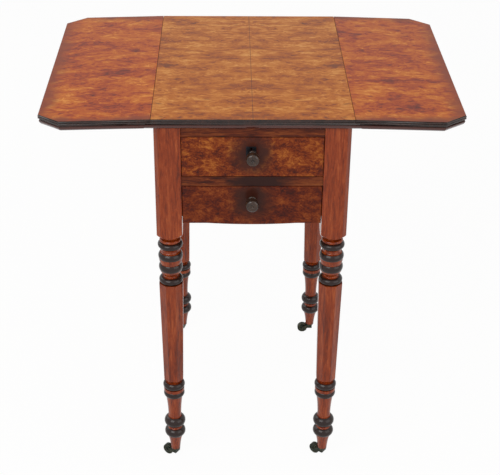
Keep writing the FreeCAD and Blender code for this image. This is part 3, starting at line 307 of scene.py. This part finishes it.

# %% Darker patches on the drawer fronts and the rail
def dark_round_patch(material, centre, squash, near, far, ragged, colour):
    """Lays a dark round patch on a drawer front or the rail: its factor falls off with the distance
    from a centre, measured after the point is squashed along x and z."""
    nodes = material.node_tree.nodes
    place = nodes["Texture Coordinate"].outputs["Object"]
    settings = {"Scale": squash}
    drawn = add(nodes, "ShaderNodeMapping", settings, {"Vector": place}).outputs[0]
    spot = tuple(np.array(centre) * np.array(squash))
    settings = {"operation": "DISTANCE", 1: spot}
    away = add(nodes, "ShaderNodeVectorMath", settings, {0: drawn}).outputs["Value"]
    blend_in(material, cloudy_edge(material, away, far, near, ragged, 18), colour)


# A squash of 0 along y leaves only the distance on the face.
FLAT_ON = (1, 0, 1)
DARK_CORE, DARK_REACH, DARK_RAGGED = 0.014, 0.05, 0.03
# Each drawer front is made darker in a round patch about its knob.
for drawer, material, colour in (
    ("upper_drawer", drawer_veneer, "#3a1a12"),
    ("lower_drawer", lower_veneer, "#34170f"),
):
    low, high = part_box(drawer + "_knob")
    middle = ((low.x + high.x) / 2, 0, (low.z + high.z) / 2)
    dark_round_patch(material, middle, FLAT_ON, DARK_CORE, DARK_REACH, DARK_RAGGED, colour)
    print(drawer, "darkened round", np.round(middle, 3))

# %% [markdown]
# ## Solid walnut and the darker woods
#
# The legs and rails are solid walnut, straight in the grain and redder than the veneer.
# The turner blackened the beads of the legs, and the edge of the top and the knobs were
# ebonised too: stained black, then polished. The parts that nobody sees were left bare:
# oak for the linings of the drawers, pine for the runners, beech for the leaf supports.

# %% Solid woods
RED_WALNUT = ["#521a06", "#6c2605", "#7c2e08", "#883a14", "#96481f"]
RAIL_WALNUT = ["#220c06", "#3d1409", "#58230c", "#6e3516", "#80471f"]
EBONISED = ["#150d0b", "#21130f", "#2c1a15", "#3a231b"]
KNOB_WOOD = ["#1c120e", "#2a1c15", "#38261b", "#463020"]
OAK = ["#6e5032", "#876543", "#9b7851", "#ae8b62"]
PINE = ["#7b5733", "#94704a", "#a98358", "#bb966a"]
BEECH = ["#5c351d", "#714527", "#865632", "#99673f"]
MAHOGANY = ["#3b1f12", "#4f2c1a", "#613a23"]
UPRIGHT = (1.6, 1.6, 0.16)
CROSSWISE = (0.16, 1.6, 1.6)
LENGTHWISE = (1.6, 0.16, 1.6)

# Bare woods are made by the same recipe, with hardly any eyes and little or no coat.
leg_wood = walnut("polished_walnut_leg", RED_WALNUT, UPRIGHT, 16, 4, 0.35, 0.3, 0.4)
rail_wood = walnut("polished_walnut_rail", RAIL_WALNUT, CROSSWISE, 18, 5, 0.5, 0.36, 0.12)
panel_wood = walnut("polished_walnut_panel", RAIL_WALNUT, LENGTHWISE, 22, 6, 0.4, 0.34, 0.2)
back_wood = walnut("polished_walnut_back_panel", RAIL_WALNUT, CROSSWISE, 22, 6, 0.4, 0.36, 0.2)
edge_wood = walnut("ebonised_edge", EBONISED, ALONG_X, 20, 5, 0.2, 0.24, 0.7)
knob_wood = walnut("ebonised_knob", KNOB_WOOD, (1, 1, 1), 9, 3, 0.3, 0.26, 0.6)
under_wood = walnut("bare_mahogany_underside", MAHOGANY, LENGTHWISE, 20, 5, 0.1, 0.6, 0)
oak = walnut("bare_oak_lining", OAK, LENGTHWISE, 14, 3, 0.1, 0.62, 0)
oak_across = walnut("bare_oak_bottom", OAK, CROSSWISE, 14, 3, 0.1, 0.62, 0)
pine = walnut("bare_pine_runner", PINE, LENGTHWISE, 18, 5, 0.1, 0.66, 0)
beech = walnut("stained_beech_support", BEECH, LENGTHWISE, 12, 3, 0.1, 0.5, 0.1)

# The rail's dark patch is wider than it is high, so x is squashed too.
WIDE_ON = (0.45, 0, 1)
RAIL_DARK_X = 0.01
RAIL_DARK_CORE, RAIL_DARK_REACH, RAIL_DARK_RAGGED = 0.012, 0.032, 0.02
# The divider rail is made darker in a wide patch at its middle.
low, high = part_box("divider_rail")
middle = (RAIL_DARK_X, 0, (low.z + high.z) / 2)
dark_round_patch(rail_wood, middle, WIDE_ON, RAIL_DARK_CORE, RAIL_DARK_REACH, RAIL_DARK_RAGGED, "#2a120d")
print(len(bpy.data.materials), "materials so far")

# %% [markdown]
# The beads of the legs are blackened in rings. A painted ring would need an image, but
# every point of a turned leg knows its own height, so the leg's surface carries a number
# called ebony, 1 on a blackened member and 0 elsewhere, and the material mixes by it. The
# moulded edge of the top carries a second number, its depth below the top's face: the two
# reeds are black and the thumb below them keeps some red.

# %% Ebonised rings and the red thumb of the edge
ring_nodes = leg_wood.node_tree.nodes
rings = add(ring_nodes, "ShaderNodeAttribute", {"attribute_name": "ebony"}).outputs["Fac"]
blend_in(leg_wood, rings, "#241613")

REEDS_DEPTH, REEDS_FADE = 0.0105, 0.0006
edge_nodes = edge_wood.node_tree.nodes
depth = add(edge_nodes, "ShaderNodeAttribute", {"attribute_name": "edge_depth"}).outputs["Fac"]
settings = {"From Min": REEDS_DEPTH - REEDS_FADE, "From Max": REEDS_DEPTH + REEDS_FADE, "To Max": 0.8}
thumb = add(edge_nodes, "ShaderNodeMapRange", settings, {"Value": depth}).outputs[0]
blend_in(edge_wood, thumb, "#4a1f16")
print("reeds are black down to", REEDS_DEPTH / MM, "mm")

# %% [markdown]
# ## Metals
#
# Wrought iron hinges and screws have a dull brown-black skin. Brass left alone for a
# century goes from yellow through brown to almost black, with a green bloom where it is
# damp, so the castors near the floor are the darkest. A metal's colour comes from its
# metallic base, roughened where the skin is thick, and no clear coat lies over it.

# %% A recipe for old metal
def old_metal(name, bright, skin, bloom, patch, roughness):
    """Metal under a skin: a noise of the patch size in millimetres shows the bright metal
    where it is high, the skin in between and the bloom where it is low."""
    material, nodes, place, shader = start_material(name)
    settings = {"Scale": 1 / (patch * MM), "Detail": 5, "Roughness": 0.65}
    spread = add(nodes, "ShaderNodeTexNoise", settings, {"Vector": place}).outputs[0]
    stops = [(0.32, tone(bloom)), (0.5, tone(skin)), (0.72, tone(bright))]
    colour = add(nodes, "ShaderNodeValToRGB", {"stops": stops}, {"Fac": spread}).outputs["Color"]
    worn = {"From Min": 0.3, "From Max": 0.7, "To Min": roughness + 0.15, "To Max": roughness}
    rough = add(nodes, "ShaderNodeMapRange", worn, {"Value": spread}).outputs[0]
    pits = {"Strength": 0.3, "Distance": 0.08 * MM}
    skin_bump = add(nodes, "ShaderNodeBump", pits, {"Height": spread}).outputs[0]
    shader.inputs["Metallic"].default_value = 0.85
    for socket, source in (("Base Color", colour), ("Roughness", rough), ("Normal", skin_bump)):
        nodes.id_data.links.new(source, shader.inputs[socket])
    return material


iron = old_metal("wrought_iron_hinge", "#4b443e", "#322c28", "#2a201a", 5, 0.5)
steel = old_metal("dark_iron_screw", "#5b544c", "#3a342f", "#2b231d", 3, 0.42)
brass = old_metal("aged_brass_lock", "#a08247", "#7a6034", "#54452a", 6, 0.36)
plate_brass = old_metal("blackened_brass_escutcheon", "#34343a", "#222328", "#1a1a1c", 5, 0.34)
castor_brass = old_metal("patinated_brass_castor", "#55523f", "#2e3029", "#26332b", 4, 0.38)
print("metals ready")

# %% [markdown]
# ## The turned legs
#
# A leg is one stick of walnut: a square block at the top, a row of turned beads, a tapered
# shaft of eight sides and a second row of beads down to the castor. It could be a stack of
# cylinders and boxes, but then nothing would round the corners. Here the whole leg is one
# surface of two parameters, the height and the angle round the axis. The height picks a
# radius from the turner's profile, and the angle turns that circle into a square or an
# octagon by a formula that eases the corners as years of hands have.

# %% The turner's table
# Name, length, radius at the start, middle and end, and whether it is blackened. A member
# with no middle is straight.
UPPER_MEMBERS = [
    ("necking_bead", 6, 16, 18.6, 16, 0),
    ("collar_bead", 12, 16, 21.8, 16, 1),
    ("upper_hollow", 9.5, 17.6, 14.2, 17.6, 0),
    ("middle_bead", 11, 18.3, 21.3, 20.4, 1),
    ("cup", 11, 20.4, 19.8, 18.2, 0),
    ("bowl_bead", 12.5, 18.6, 20.8, 19.6, 1),
    ("bowl", 10, 19.6, 17.6, 13.3, 0),
    ("lower_hollow", 4.5, 13.3, 11.3, 13.3, 0),
    ("capital_bead", 12, 16, 21, 17, 1),
]
LOWER_MEMBERS = [
    ("foot_taper", 26.5, 8.6, 10, 12.2, 0),
    ("ankle_fillet", 6, 12.6, None, 13.9, 0),
    ("ankle_bead", 18, 13.9, 19.3, 13.4, 1),
    ("ankle_hollow", 5.5, 13.4, 11.6, 13.4, 0),
    ("knee_bead", 20, 13.4, 19.6, 13, 1),
    ("vase", 49, 12, 12.7, 15.4, 0),
    ("shaft_ring", 13, 16.2, 19.2, 16.2, 1),
    ("shaft_fillet", 6, 18.8, None, 18.8, 0),
    ("base_bead", 13, 16.5, 20, 16.5, 1),
    ("shaft_neck", 2, 12.8, None, 12.8, 0),
    ("shaft_seat", 6, 12.8, None, 17.3, 0),
]
ARC_STEPS = 12
print(len(UPPER_MEMBERS) + len(LOWER_MEMBERS), "turned members in a leg")


def member_profile(length, start, middle, end):
    """Distance along a member and radius there. Three radii lie on one circle, whose centre
    is level with neither end: its height is found from the two equal distances."""
    if middle is None:
        return np.array([0.0, length]), np.array([float(start), float(end)])
    points = np.array([(0, start), (length / 2, middle), (length, end)], float)
    rows = 2 * (points[1:] - points[0])
    squares = (points[1:] ** 2).sum(1) - (points[0] ** 2).sum()
    centre = np.linalg.solve(rows, squares)
    radius = np.linalg.norm(points[0] - centre)
    first, last = [np.arctan2(*(p - centre)[::-1]) for p in points[[0, 2]]]
    last += 2 * np.pi * round((first - last) / (2 * np.pi))
    angles = np.linspace(first, last, ARC_STEPS)
    return centre[0] + radius * np.cos(angles), centre[1] + radius * np.sin(angles)


def row_of_members(members, start, way):
    """Heights, radii and ebony of a row of members from a height, way 1 up and -1 down."""
    heights, radii, ebony = [], [], []
    height = start
    for _, length, first, middle, last, dark in members:
        along, radius = member_profile(length, first, middle, last)
        heights.append(height + way * along)
        radii.append(radius)
        ebony.append(np.full(len(along), float(dark)))
        height += way * length
    return np.concatenate(heights), np.concatenate(radii), np.concatenate(ebony), height


# %% The surface of a leg
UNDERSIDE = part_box("leg_front_left")[1].z / MM
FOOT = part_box("leg_front_left")[0].z / MM
BLOCK_HALF = 22.0
CHAMFER_OUT = (2 * BLOCK_HALF - 7) / np.sqrt(2)
BLOCK_LENGTH, SHOULDER, NECK_RADIUS = 200.5, 17.0, 14.2
SHAFT_TOP_HALF, SHAFT_BOTTOM_HALF = 20.7, 17.3
ROUND_COLUMNS = 160
# The power of the mean in eased_polygon: a higher power makes a crisper corner.
CORNER = 180
# Edges that turn by more than this many degrees stay sharp.
TURNED_EDGE, METAL_EDGE, TOP_EDGE = 28, 32, 26


def eased_polygon(angles, directions, distances):
    """Radius at each angle of a polygon with rounded corners. Each side lies across its
    direction at its distance, and the radius is one over the high-power mean of
    cosine / distance over the sides, so the nearest side rules except at a corner."""
    facing = np.cos(angles[:, None] - np.array(directions)[None, :])
    shares = np.maximum(facing, 0) / np.array(distances)[None, :]
    return (shares**CORNER).sum(1) ** (-1 / CORNER)


angles = np.arange(ROUND_COLUMNS) * 2 * np.pi / ROUND_COLUMNS
octagon = eased_polygon(angles, np.arange(8) * np.pi / 4, np.ones(8))


def leg_rows(out_angle):
    """Heights, radii at every angle, and ebony, from the foot up to the underside."""
    low, low_r, low_e, shaft_foot = row_of_members(LOWER_MEMBERS, FOOT, 1)
    head = UNDERSIDE - BLOCK_LENGTH - SHOULDER
    high, high_r, high_e, shaft_head = row_of_members(UPPER_MEMBERS, head, -1)
    shaft = np.linspace(0, 1, 24)
    shaft_z = shaft_foot + shaft * (shaft_head - shaft_foot)
    shaft_half = SHAFT_BOTTOM_HALF + shaft * (SHAFT_TOP_HALF - SHAFT_BOTTOM_HALF)
    sides = [*(np.arange(4) * np.pi / 2), out_angle]
    square = eased_polygon(angles, sides, [BLOCK_HALF] * 4 + [CHAMFER_OUT])
    rise = np.linspace(0, 1, 14)
    corner = BLOCK_HALF * np.sqrt(2)
    cone = NECK_RADIUS + rise * (corner - NECK_RADIUS)
    shoulder = np.minimum(square[None, :], cone[:, None])
    block_z = np.linspace(UNDERSIDE - BLOCK_LENGTH, UNDERSIDE, 12)
    block = np.repeat(square[None, :], len(block_z), 0)
    flat = np.ones(ROUND_COLUMNS)
    heights = np.concatenate([low, shaft_z, high[::-1], head + rise * SHOULDER, block_z])
    radii = np.concatenate(
        [np.outer(low_r, flat), np.outer(shaft_half, octagon), np.outer(high_r[::-1], flat), shoulder, block]
    )
    plain = [np.zeros(len(part)) for part in (shaft_z, rise, block_z)]
    ebony = np.concatenate([low_e, plain[0], high_e[::-1], plain[1], plain[2]])
    return heights * MM, radii * MM, ebony


def shade_by_angle(mesh, degrees):
    """Smooth faces, with the edges sharper than an angle left sharp."""
    mesh.shade_smooth()
    mesh.set_sharp_from_angle(angle=np.radians(degrees))


def closed_tube(name, points, values=None):
    """A mesh from rows of points round an axis, points[row, column], whose first and last
    rows are closed with a fan to their middle. Values, one for each row, become the
    attribute ebony."""
    rows, columns = points.shape[:2]
    body = points.reshape(-1, 3)
    ends = np.array([points[0].mean(0), points[-1].mean(0)])
    row, column = np.meshgrid(np.arange(rows - 1), np.arange(columns), indexing="ij")
    after = (column + 1) % columns
    quads = np.stack([row * columns + column, row * columns + after,
                      (row + 1) * columns + after, (row + 1) * columns + column], -1)
    ring = np.arange(columns)
    following = (ring + 1) % columns
    foot, head = rows * columns, rows * columns + 1
    last = (rows - 1) * columns
    low_fan = np.stack([np.full(columns, foot), following, ring], -1)
    high_fan = np.stack([np.full(columns, head), last + ring, last + following], -1)
    faces = [*quads.reshape(-1, 4).tolist(), *low_fan.tolist(), *high_fan.tolist()]
    mesh = bpy.data.meshes.new(name)
    mesh.from_pydata(np.concatenate([body, ends]).tolist(), [], faces)
    if values is not None:
        ebony = np.concatenate([np.repeat(values, columns), [values[0], values[-1]]])
        layer = mesh.attributes.new("ebony", "FLOAT", "POINT")
        layer.data.foreach_set("value", ebony.astype(np.float32))
    shade_by_angle(mesh, TURNED_EDGE)
    piece = bpy.data.objects.new(name, mesh)
    bpy.context.scene.collection.objects.link(piece)
    return piece


def dress(piece, body, material, slot, *nodes):
    """Gives a piece its material and its body, and hides the CAD nodes it stands for. The slot is not used.
    """
    if material is not None:
        piece.data.materials.clear()
        piece.data.materials.append(material)
    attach(piece, body)
    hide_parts(*nodes)
    return piece


# %% Turn the four legs
for corner in ("front_left", "front_right", "back_left", "back_right"):
    low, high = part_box("leg_" + corner)
    middle = (low + high) / 2
    outwards = np.arctan2(middle.y - MIDDLE_Y, middle.x)
    out_angle = np.pi / 4 + np.pi / 2 * np.floor(outwards / (np.pi / 2))
    heights, radii, ebony = leg_rows(out_angle)
    points = np.stack(
        [
            middle.x + radii * np.cos(angles),
            middle.y + radii * np.sin(angles),
            np.repeat(heights[:, None], ROUND_COLUMNS, 1),
        ],
        -1,
    )
    leg = closed_tube(f"turned_leg_{corner}", points, ebony)
    dress(leg, "frame", leg_wood, "walnut_leg", "leg_" + corner)
print("a leg has", len(leg.data.polygons), "faces and stands", round(FOOT, 1), "mm up")

# %% [markdown]
# ## Knobs and castor wheels
#
# Both are turned, so both are a profile carried round an axis. A knob's profile is drawn
# from its foot on the drawer to the dished face, with the corners cut three times, a quarter
# in from each end of every run, which rounds them and never leaves the outline of the points.
# A wheel's profile is closed on itself round the axle hole.

# %% Turn the knobs
def round_off(corners, times):
    """Cuts the corners of an open outline: each run keeps its middle half, so a corner
    becomes a short slope, and after some cuts a curve. Both ends stay."""
    outline = np.array(corners, float)
    for _ in range(times):
        near = 0.75 * outline[:-1] + 0.25 * outline[1:]
        far = 0.25 * outline[:-1] + 0.75 * outline[1:]
        cut = np.stack([near, far], 1).reshape(-1, 2)
        outline = np.concatenate([outline[:1], cut, outline[-1:]])
    return outline


KNOB_OUTLINE = [
    (0, 7.2), (2.6, 7.2), (3.2, 6.2), (5, 5.2), (7, 5.6), (10, 8.6), (13, 11.0), (17, 11.3),
    (21, 11.3), (24.4, 10.2), (26, 7.2), (25.7, 4.4), (25.2, 2.6), (23.6, 2.0), (23.4, 0.2),
]
KNOB_LENGTH = 26.0
knob_profile = round_off(KNOB_OUTLINE, 3) * MM
for drawer in ("upper_drawer", "lower_drawer"):
    low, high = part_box(drawer + "_knob")
    centre_x, centre_z = (low.x + high.x) / 2, (low.z + high.z) / 2
    face_y = low.y + KNOB_LENGTH * MM
    out, radius = knob_profile[:, 0][:, None], knob_profile[:, 1][:, None]
    points = np.stack(
        [
            centre_x + radius * np.cos(angles),
            face_y - out + 0 * angles,
            centre_z + radius * np.sin(angles),
        ],
        -1,
    )
    knob = closed_tube(drawer + "_turned_knob", points)
    dress(knob, drawer, knob_wood, "ebonised_knob", drawer + "_knob")
print("knob stands out", KNOB_LENGTH, "mm")

# %% Turn the wheels
WHEEL_RADIUS, WHEEL_WIDTH, BORE_RADIUS, TREAD_ROUND = 10.5, 9.0, 1.55, 1.3


def wheel_section():
    """Closed outline of the tread, as place along the axle and radius: the bore, two faces
    dished by a millimetre, and a tread rounded at both edges."""
    half = WHEEL_WIDTH / 2
    quarter = np.linspace(0, np.pi / 2, 8)
    edge_place = half - TREAD_ROUND + TREAD_ROUND * np.sin(quarter[::-1])
    edge_radius = WHEEL_RADIUS - TREAD_ROUND + TREAD_ROUND * np.cos(quarter[::-1])
    right_edge = np.stack([edge_place, edge_radius], -1)
    dish = [(half, BORE_RADIUS), (half, 3.6), (half - 1, 4.6), (half - 1, 7.4), (half, 8.4)]
    right_side = np.concatenate([dish, right_edge])
    left_side = right_side[::-1] * [-1, 1]
    return np.concatenate([right_side, left_side]) * MM


def ring(name, centre, axle, section):
    """A closed section carried round an axle: at each angle the radius points from the
    axle along cosine times one crossing direction plus sine times the other."""
    axle = np.array(axle, float) / np.linalg.norm(axle)
    first = np.array([0.0, 0.0, 1.0])
    second = np.cross(axle, first)
    outward = np.cos(angles)[:, None] * first + np.sin(angles)[:, None] * second
    points = centre + section[:, 0][:, None, None] * axle + section[:, 1][:, None, None] * outward[None, :, :]
    rows, columns = points.shape[:2]
    row, column = np.meshgrid(np.arange(rows), np.arange(columns), indexing="ij")
    below, after = (row + 1) % rows, (column + 1) % columns
    quads = np.stack([row * columns + column, row * columns + after,
                      below * columns + after, below * columns + column], -1)
    mesh = bpy.data.meshes.new(name)
    mesh.from_pydata(points.reshape(-1, 3).tolist(), [], quads.reshape(-1, 4).tolist())
    turned = bmesh.new()
    turned.from_mesh(mesh)
    bmesh.ops.recalc_face_normals(turned, faces=turned.faces)
    turned.to_mesh(mesh)
    turned.free()
    shade_by_angle(mesh, TURNED_EDGE)
    piece = bpy.data.objects.new(name, mesh)
    bpy.context.scene.collection.objects.link(piece)
    return piece


section = wheel_section()
for joint in frame["joints"]:
    if joint["name"].startswith("wheel_"):
        wheel = ring(joint["child"] + "_tread", np.array(joint["pos_m"]), joint["axis"], section)
        node = joint["child"].replace("wheel_", "castor_") + "_wheel"
        dress(wheel, joint["child"], castor_brass, "brass_castor", node)
print("a wheel has", len(wheel.data.polygons), "faces")

# %% [markdown]
# ## Pieces that keep their CAD shape
#
# Boards, rails, hinges and horns already have the right shape. What they lack is what use
# gives: no edge on old furniture is knife-sharp. A board is copied, its loose triangles
# are joined into whole faces, and a bevel of half a millimetre catches the light along
# each edge. Rounded ironwork is copied and joined too, then shaded smooth, with only its
# real edges left sharp.

# %% Copy and join a CAD piece
BEVEL_SEGMENTS, BEVEL_FROM = 2, 50


def joined_copy(node, name):
    """A copy of a CAD node with its loose triangles joined at shared points."""
    mesh = frame["nodes"][node].data.copy()
    mesh.name = name
    whole = bmesh.new()
    whole.from_mesh(mesh)
    bmesh.ops.remove_doubles(whole, verts=whole.verts, dist=1e-6)
    whole.to_mesh(mesh)
    whole.free()
    piece = bpy.data.objects.new(name, mesh)
    bpy.context.scene.collection.objects.link(piece)
    return piece


def eased_board(node, width, material, slot):
    """A board with flat faces made whole and its edges eased by a width in millimetres."""
    piece = joined_copy(node, "eased_" + node)
    whole = bmesh.new()
    whole.from_mesh(piece.data)
    bmesh.ops.dissolve_limit(whole, angle_limit=np.radians(0.5), verts=whole.verts, edges=whole.edges)
    whole.to_mesh(piece.data)
    whole.free()
    piece.data.shade_flat()
    bevel = piece.modifiers.new("eased edges", "BEVEL")
    bevel.width = width * MM
    bevel.segments = BEVEL_SEGMENTS
    bevel.limit_method = "ANGLE"
    bevel.angle_limit = np.radians(BEVEL_FROM)
    return dress(piece, frame["nodes"][node]["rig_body"], material, slot, node)


def smooth_piece(node, material, slot):
    """A rounded piece of metal or wood, shaded smooth between its real edges."""
    piece = joined_copy(node, "smooth_" + node)
    shade_by_angle(piece.data, METAL_EDGE)
    return dress(piece, frame["nodes"][node]["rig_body"], material, slot, node)


print("edges over", BEVEL_FROM, "degrees are eased in", BEVEL_SEGMENTS, "steps")

# %% Boards of the carcass, the drawers and the leaf supports
BOARDS = [
    ("top_rail", 0.5, rail_wood, "walnut_rail"),
    ("divider_rail", 0.5, rail_wood, "walnut_rail"),
    ("back_panel", 0.5, back_wood, "walnut_rail"),
    ("upper_drawer_front", 0.6, drawer_veneer, "walnut_drawer_front"),
    ("lower_drawer_front", 0.6, lower_veneer, "walnut_drawer_front"),
]
for hand in ("left", "right"):
    BOARDS.append((f"side_panel_{hand}", 0.5, panel_wood, "walnut_rail"))
    for drawer in ("upper", "lower"):
        BOARDS.append((f"{drawer}_drawer_side_{hand}", 0.4, oak, "oak_lining"))
        BOARDS.append((f"{drawer}_runner_{hand}", 0.4, pine, "pine_carcass"))
for drawer in ("upper", "lower"):
    BOARDS.append((f"{drawer}_drawer_bottom", 0.3, oak_across, "oak_lining"))
    BOARDS.append((f"{drawer}_drawer_back", 0.4, oak_across, "oak_lining"))
for node, width, material, slot in BOARDS:
    eased_board(node, width, material, slot)
print(len(BOARDS), "boards eased")

# %% Metalwork and the curved supports
SMOOTH = [("castor_caps", castor_brass, "brass_castor"), ("escutcheon", plate_brass, "dark_escutcheon")]
for hand in ("left", "right"):
    SMOOTH.append((f"hinge_fixed_plates_{hand}", iron, "iron_hinge"))
    SMOOTH.append((f"hinge_leaf_plates_{hand}", iron, "iron_hinge"))
    SMOOTH.append((f"fly_rail_{hand}", beech, "beech_fly"))
    SMOOTH.append((f"fly_bracket_{hand}", beech, "beech_fly"))
for corner in ("front_left", "front_right", "back_left", "back_right"):
    SMOOTH.append((f"castor_{corner}_horn", castor_brass, "brass_castor"))
    SMOOTH.append((f"castor_{corner}_axle", castor_brass, "brass_castor"))
for node, material, slot in SMOOTH:
    smooth_piece(node, material, slot)
print(len(SMOOTH), "pieces smoothed")

# %% Small inner pieces stay as they are and get their finish
CARRIED = {
    "kicker_left": pine, "kicker_right": pine, "lock_case": brass, "lock_bolt": brass,
    "top_screws": steel, "hinge_top_screws": steel, "hinge_leaf_screws_left": steel,
    "hinge_leaf_screws_right": steel, "hinge_pins": iron, "fly_pins": iron,
}
for node, material in CARRIED.items():
    carried = frame["nodes"][node]
    carried.data.materials.clear()
    carried.data.materials.append(material)
print("carried over", sorted(CARRIED))

# %% [markdown]
# ## The top and its leaves
#
# Each of the three boards is veneered above, moulded round its outer edge and bare below.
# It could be cut into three pieces, but a seam would show, so it stays one piece with
# three materials, and each face is given its own by where it lies and which way it looks.

# %% Veneer, edge and underside by face
TOP_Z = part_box("centre_top")[1].z
HALF_DEPTH = (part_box("centre_top")[1].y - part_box("centre_top")[0].y) / 2
HINGE_X = 0.165
# Each leaf hangs a little below level, from its hinge outwards.
DROOP = np.tan(np.radians(1.6))
MOULDING_WIDTH = 9 * MM
CANT_WIDTH, CANT_DEPTH = 37 * MM, 30 * MM


def plan_distance(points, reach):
    """Distance in from the outline in plan: the least of the distances to the front and
    back edges, and on a leaf to its end and to the cut-off corners too."""
    from_ends = HALF_DEPTH - np.abs(points[:, 1] - MIDDLE_Y)
    if reach is None:
        return from_ends
    from_side = reach - np.abs(points[:, 0])
    cut = np.array([CANT_DEPTH, CANT_WIDTH])
    along = from_side * cut[0] + from_ends * cut[1] - cut[0] * cut[1]
    return np.minimum(np.minimum(from_ends, from_side), along / np.linalg.norm(cut))


def top_board(node, veneer, slot, reach):
    """One board of the top: face 0 veneer, 1 moulded edge and 2 underside or rule joint."""
    piece = joined_copy(node, "veneered_" + node)
    mesh = piece.data
    count = len(mesh.polygons)
    centres, normals = np.zeros(count * 3), np.zeros(count * 3)
    mesh.polygons.foreach_get("center", centres)
    mesh.polygons.foreach_get("normal", normals)
    centres, normals = centres.reshape(-1, 3), normals.reshape(-1, 3)
    sag = DROOP * np.maximum(np.abs(centres[:, 0]) - HINGE_X, 0)
    near_top = TOP_Z - sag - centres[:, 2] < 0.4 * MM
    on_edge = (plan_distance(centres, reach) < MOULDING_WIDTH) & (normals[:, 2] > -0.99)
    kind = np.where((normals[:, 2] > 0.99) & near_top, 0, np.where(on_edge, 1, 2))
    mesh.materials.clear()
    for material in (veneer, edge_wood, under_wood):
        mesh.materials.append(material)
    mesh.polygons.foreach_set("material_index", kind.astype(np.int32))
    points = np.zeros(len(mesh.vertices) * 3)
    mesh.vertices.foreach_get("co", points)
    points = points.reshape(-1, 3)
    fall = TOP_Z - DROOP * np.maximum(np.abs(points[:, 0]) - HINGE_X, 0) - points[:, 2]
    layer = mesh.attributes.new("edge_depth", "FLOAT", "POINT")
    layer.data.foreach_set("value", fall.astype(np.float32))
    shade_by_angle(mesh, TOP_EDGE)
    dress(piece, frame["nodes"][node]["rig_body"], None, slot, node)
    return [int((kind == n).sum()) for n in range(3)]


for hand in ("left", "right"):
    low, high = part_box("leaf_" + hand)
    reach = max(abs(low.x), abs(high.x))
    print(hand, "leaf faces", top_board("leaf_" + hand, leaf_veneer, "walnut_leaf", reach))
print("centre faces", top_board("centre_top", top_veneer, "walnut_top", None))

# %% [markdown]
# ## Floor, light and air
#
# The table stands in a white studio. The floor and the world look white to the camera, by
# a light path test, so that no extra light falls on the wood, and the floor lets a soft
# shadow through. Three large soft lamps light the table: one high in front on the left,
# one on the right to fill, and a weak one behind on the left for the sides they miss.

# %% The floor
def white_for_camera(nodes):
    """1 for rays that see a background: from the camera, a reflection or through glass."""
    path = add(nodes, "ShaderNodeLightPath").outputs
    links = {0: path["Is Camera Ray"], 1: path["Is Glossy Ray"]}
    seen = add(nodes, "ShaderNodeMath", {"operation": "MAXIMUM"}, links)
    links = {0: seen.outputs[0], 1: path["Is Transmission Ray"]}
    return add(nodes, "ShaderNodeMath", {"operation": "MAXIMUM"}, links).outputs[0]


FLOOR_HALF = 9.0
FLOOR_WHITE = 0.95
floor_mesh = bpy.data.meshes.new("studio_floor")
square = [(FLOOR_HALF * x, FLOOR_HALF * y, 0) for x, y in ((-1, -1), (1, -1), (1, 1), (-1, 1))]
floor_mesh.from_pydata(square, [], [(0, 1, 2, 3)])
floor = bpy.data.objects.new("studio_floor", floor_mesh)
bpy.context.scene.collection.objects.link(floor)
floor_paint = bpy.data.materials.new("white_studio_floor")
floor_paint.use_nodes = True
floor_nodes = floor_paint.node_tree.nodes
matt = floor_nodes["Principled BSDF"]
matt.inputs["Base Color"].default_value = tone("#e6e4e1")
matt.inputs["Roughness"].default_value = 0.9
glow = add(floor_nodes, "ShaderNodeEmission", {"Color": WHITE, "Strength": 1.0}).outputs[0]
settings = {"operation": "MULTIPLY", 1: FLOOR_WHITE}
share = add(floor_nodes, "ShaderNodeMath", settings, {0: white_for_camera(floor_nodes)}).outputs[0]
paint = add(floor_nodes, "ShaderNodeMixShader", (), {0: share, 1: matt.outputs[0], 2: glow}).outputs[0]
floor_paint.node_tree.links.new(paint, floor_nodes["Material Output"].inputs["Surface"])
floor_mesh.materials.append(floor_paint)
print("floor", 2 * FLOOR_HALF, "m wide")

# %% The lamps and the world
LAMPS = [
    ("key", (-1.5, -2.4, 2.6), 2.2, 62),
    ("fill", (2.2, -1.8, 1.6), 2.4, 26),
    ("rim", (-2.6, 1.3, 2.2), 1.8, 16),
]
AIM = np.array([0, 0, 0.5])
for name, spot, size, watts in LAMPS:
    data = bpy.data.lights.new(name, "AREA")
    data.shape, data.size, data.energy = "SQUARE", size, watts
    lamp = bpy.data.objects.new(name, data)
    bpy.context.scene.collection.objects.link(lamp)
    away = (np.array(spot) - AIM) / np.linalg.norm(np.array(spot) - AIM)
    across_lamp = np.cross([0, 0, 1], away)
    across_lamp /= np.linalg.norm(across_lamp)
    pose = np.eye(4)
    pose[:3, 0], pose[:3, 1], pose[:3, 2], pose[:3, 3] = across_lamp, np.cross(away, across_lamp), away, spot
    lamp.matrix_world = Matrix(pose)

world = bpy.data.worlds.new("studio")
bpy.context.scene.world = world
world.use_nodes = True
world_nodes = world.node_tree.nodes
air = world_nodes["Background"]
air.inputs["Color"].default_value = WHITE
AIR_LIGHT = 0.55
settings = {"To Min": AIR_LIGHT, "To Max": 1.0}
seen = white_for_camera(world_nodes)
strength = add(world_nodes, "ShaderNodeMapRange", settings, {"Value": seen}).outputs[0]
world.node_tree.links.new(strength, air.inputs["Strength"])
bpy.context.scene.view_settings.view_transform = "Standard"
print("lamps", [name for name, *_ in LAMPS])
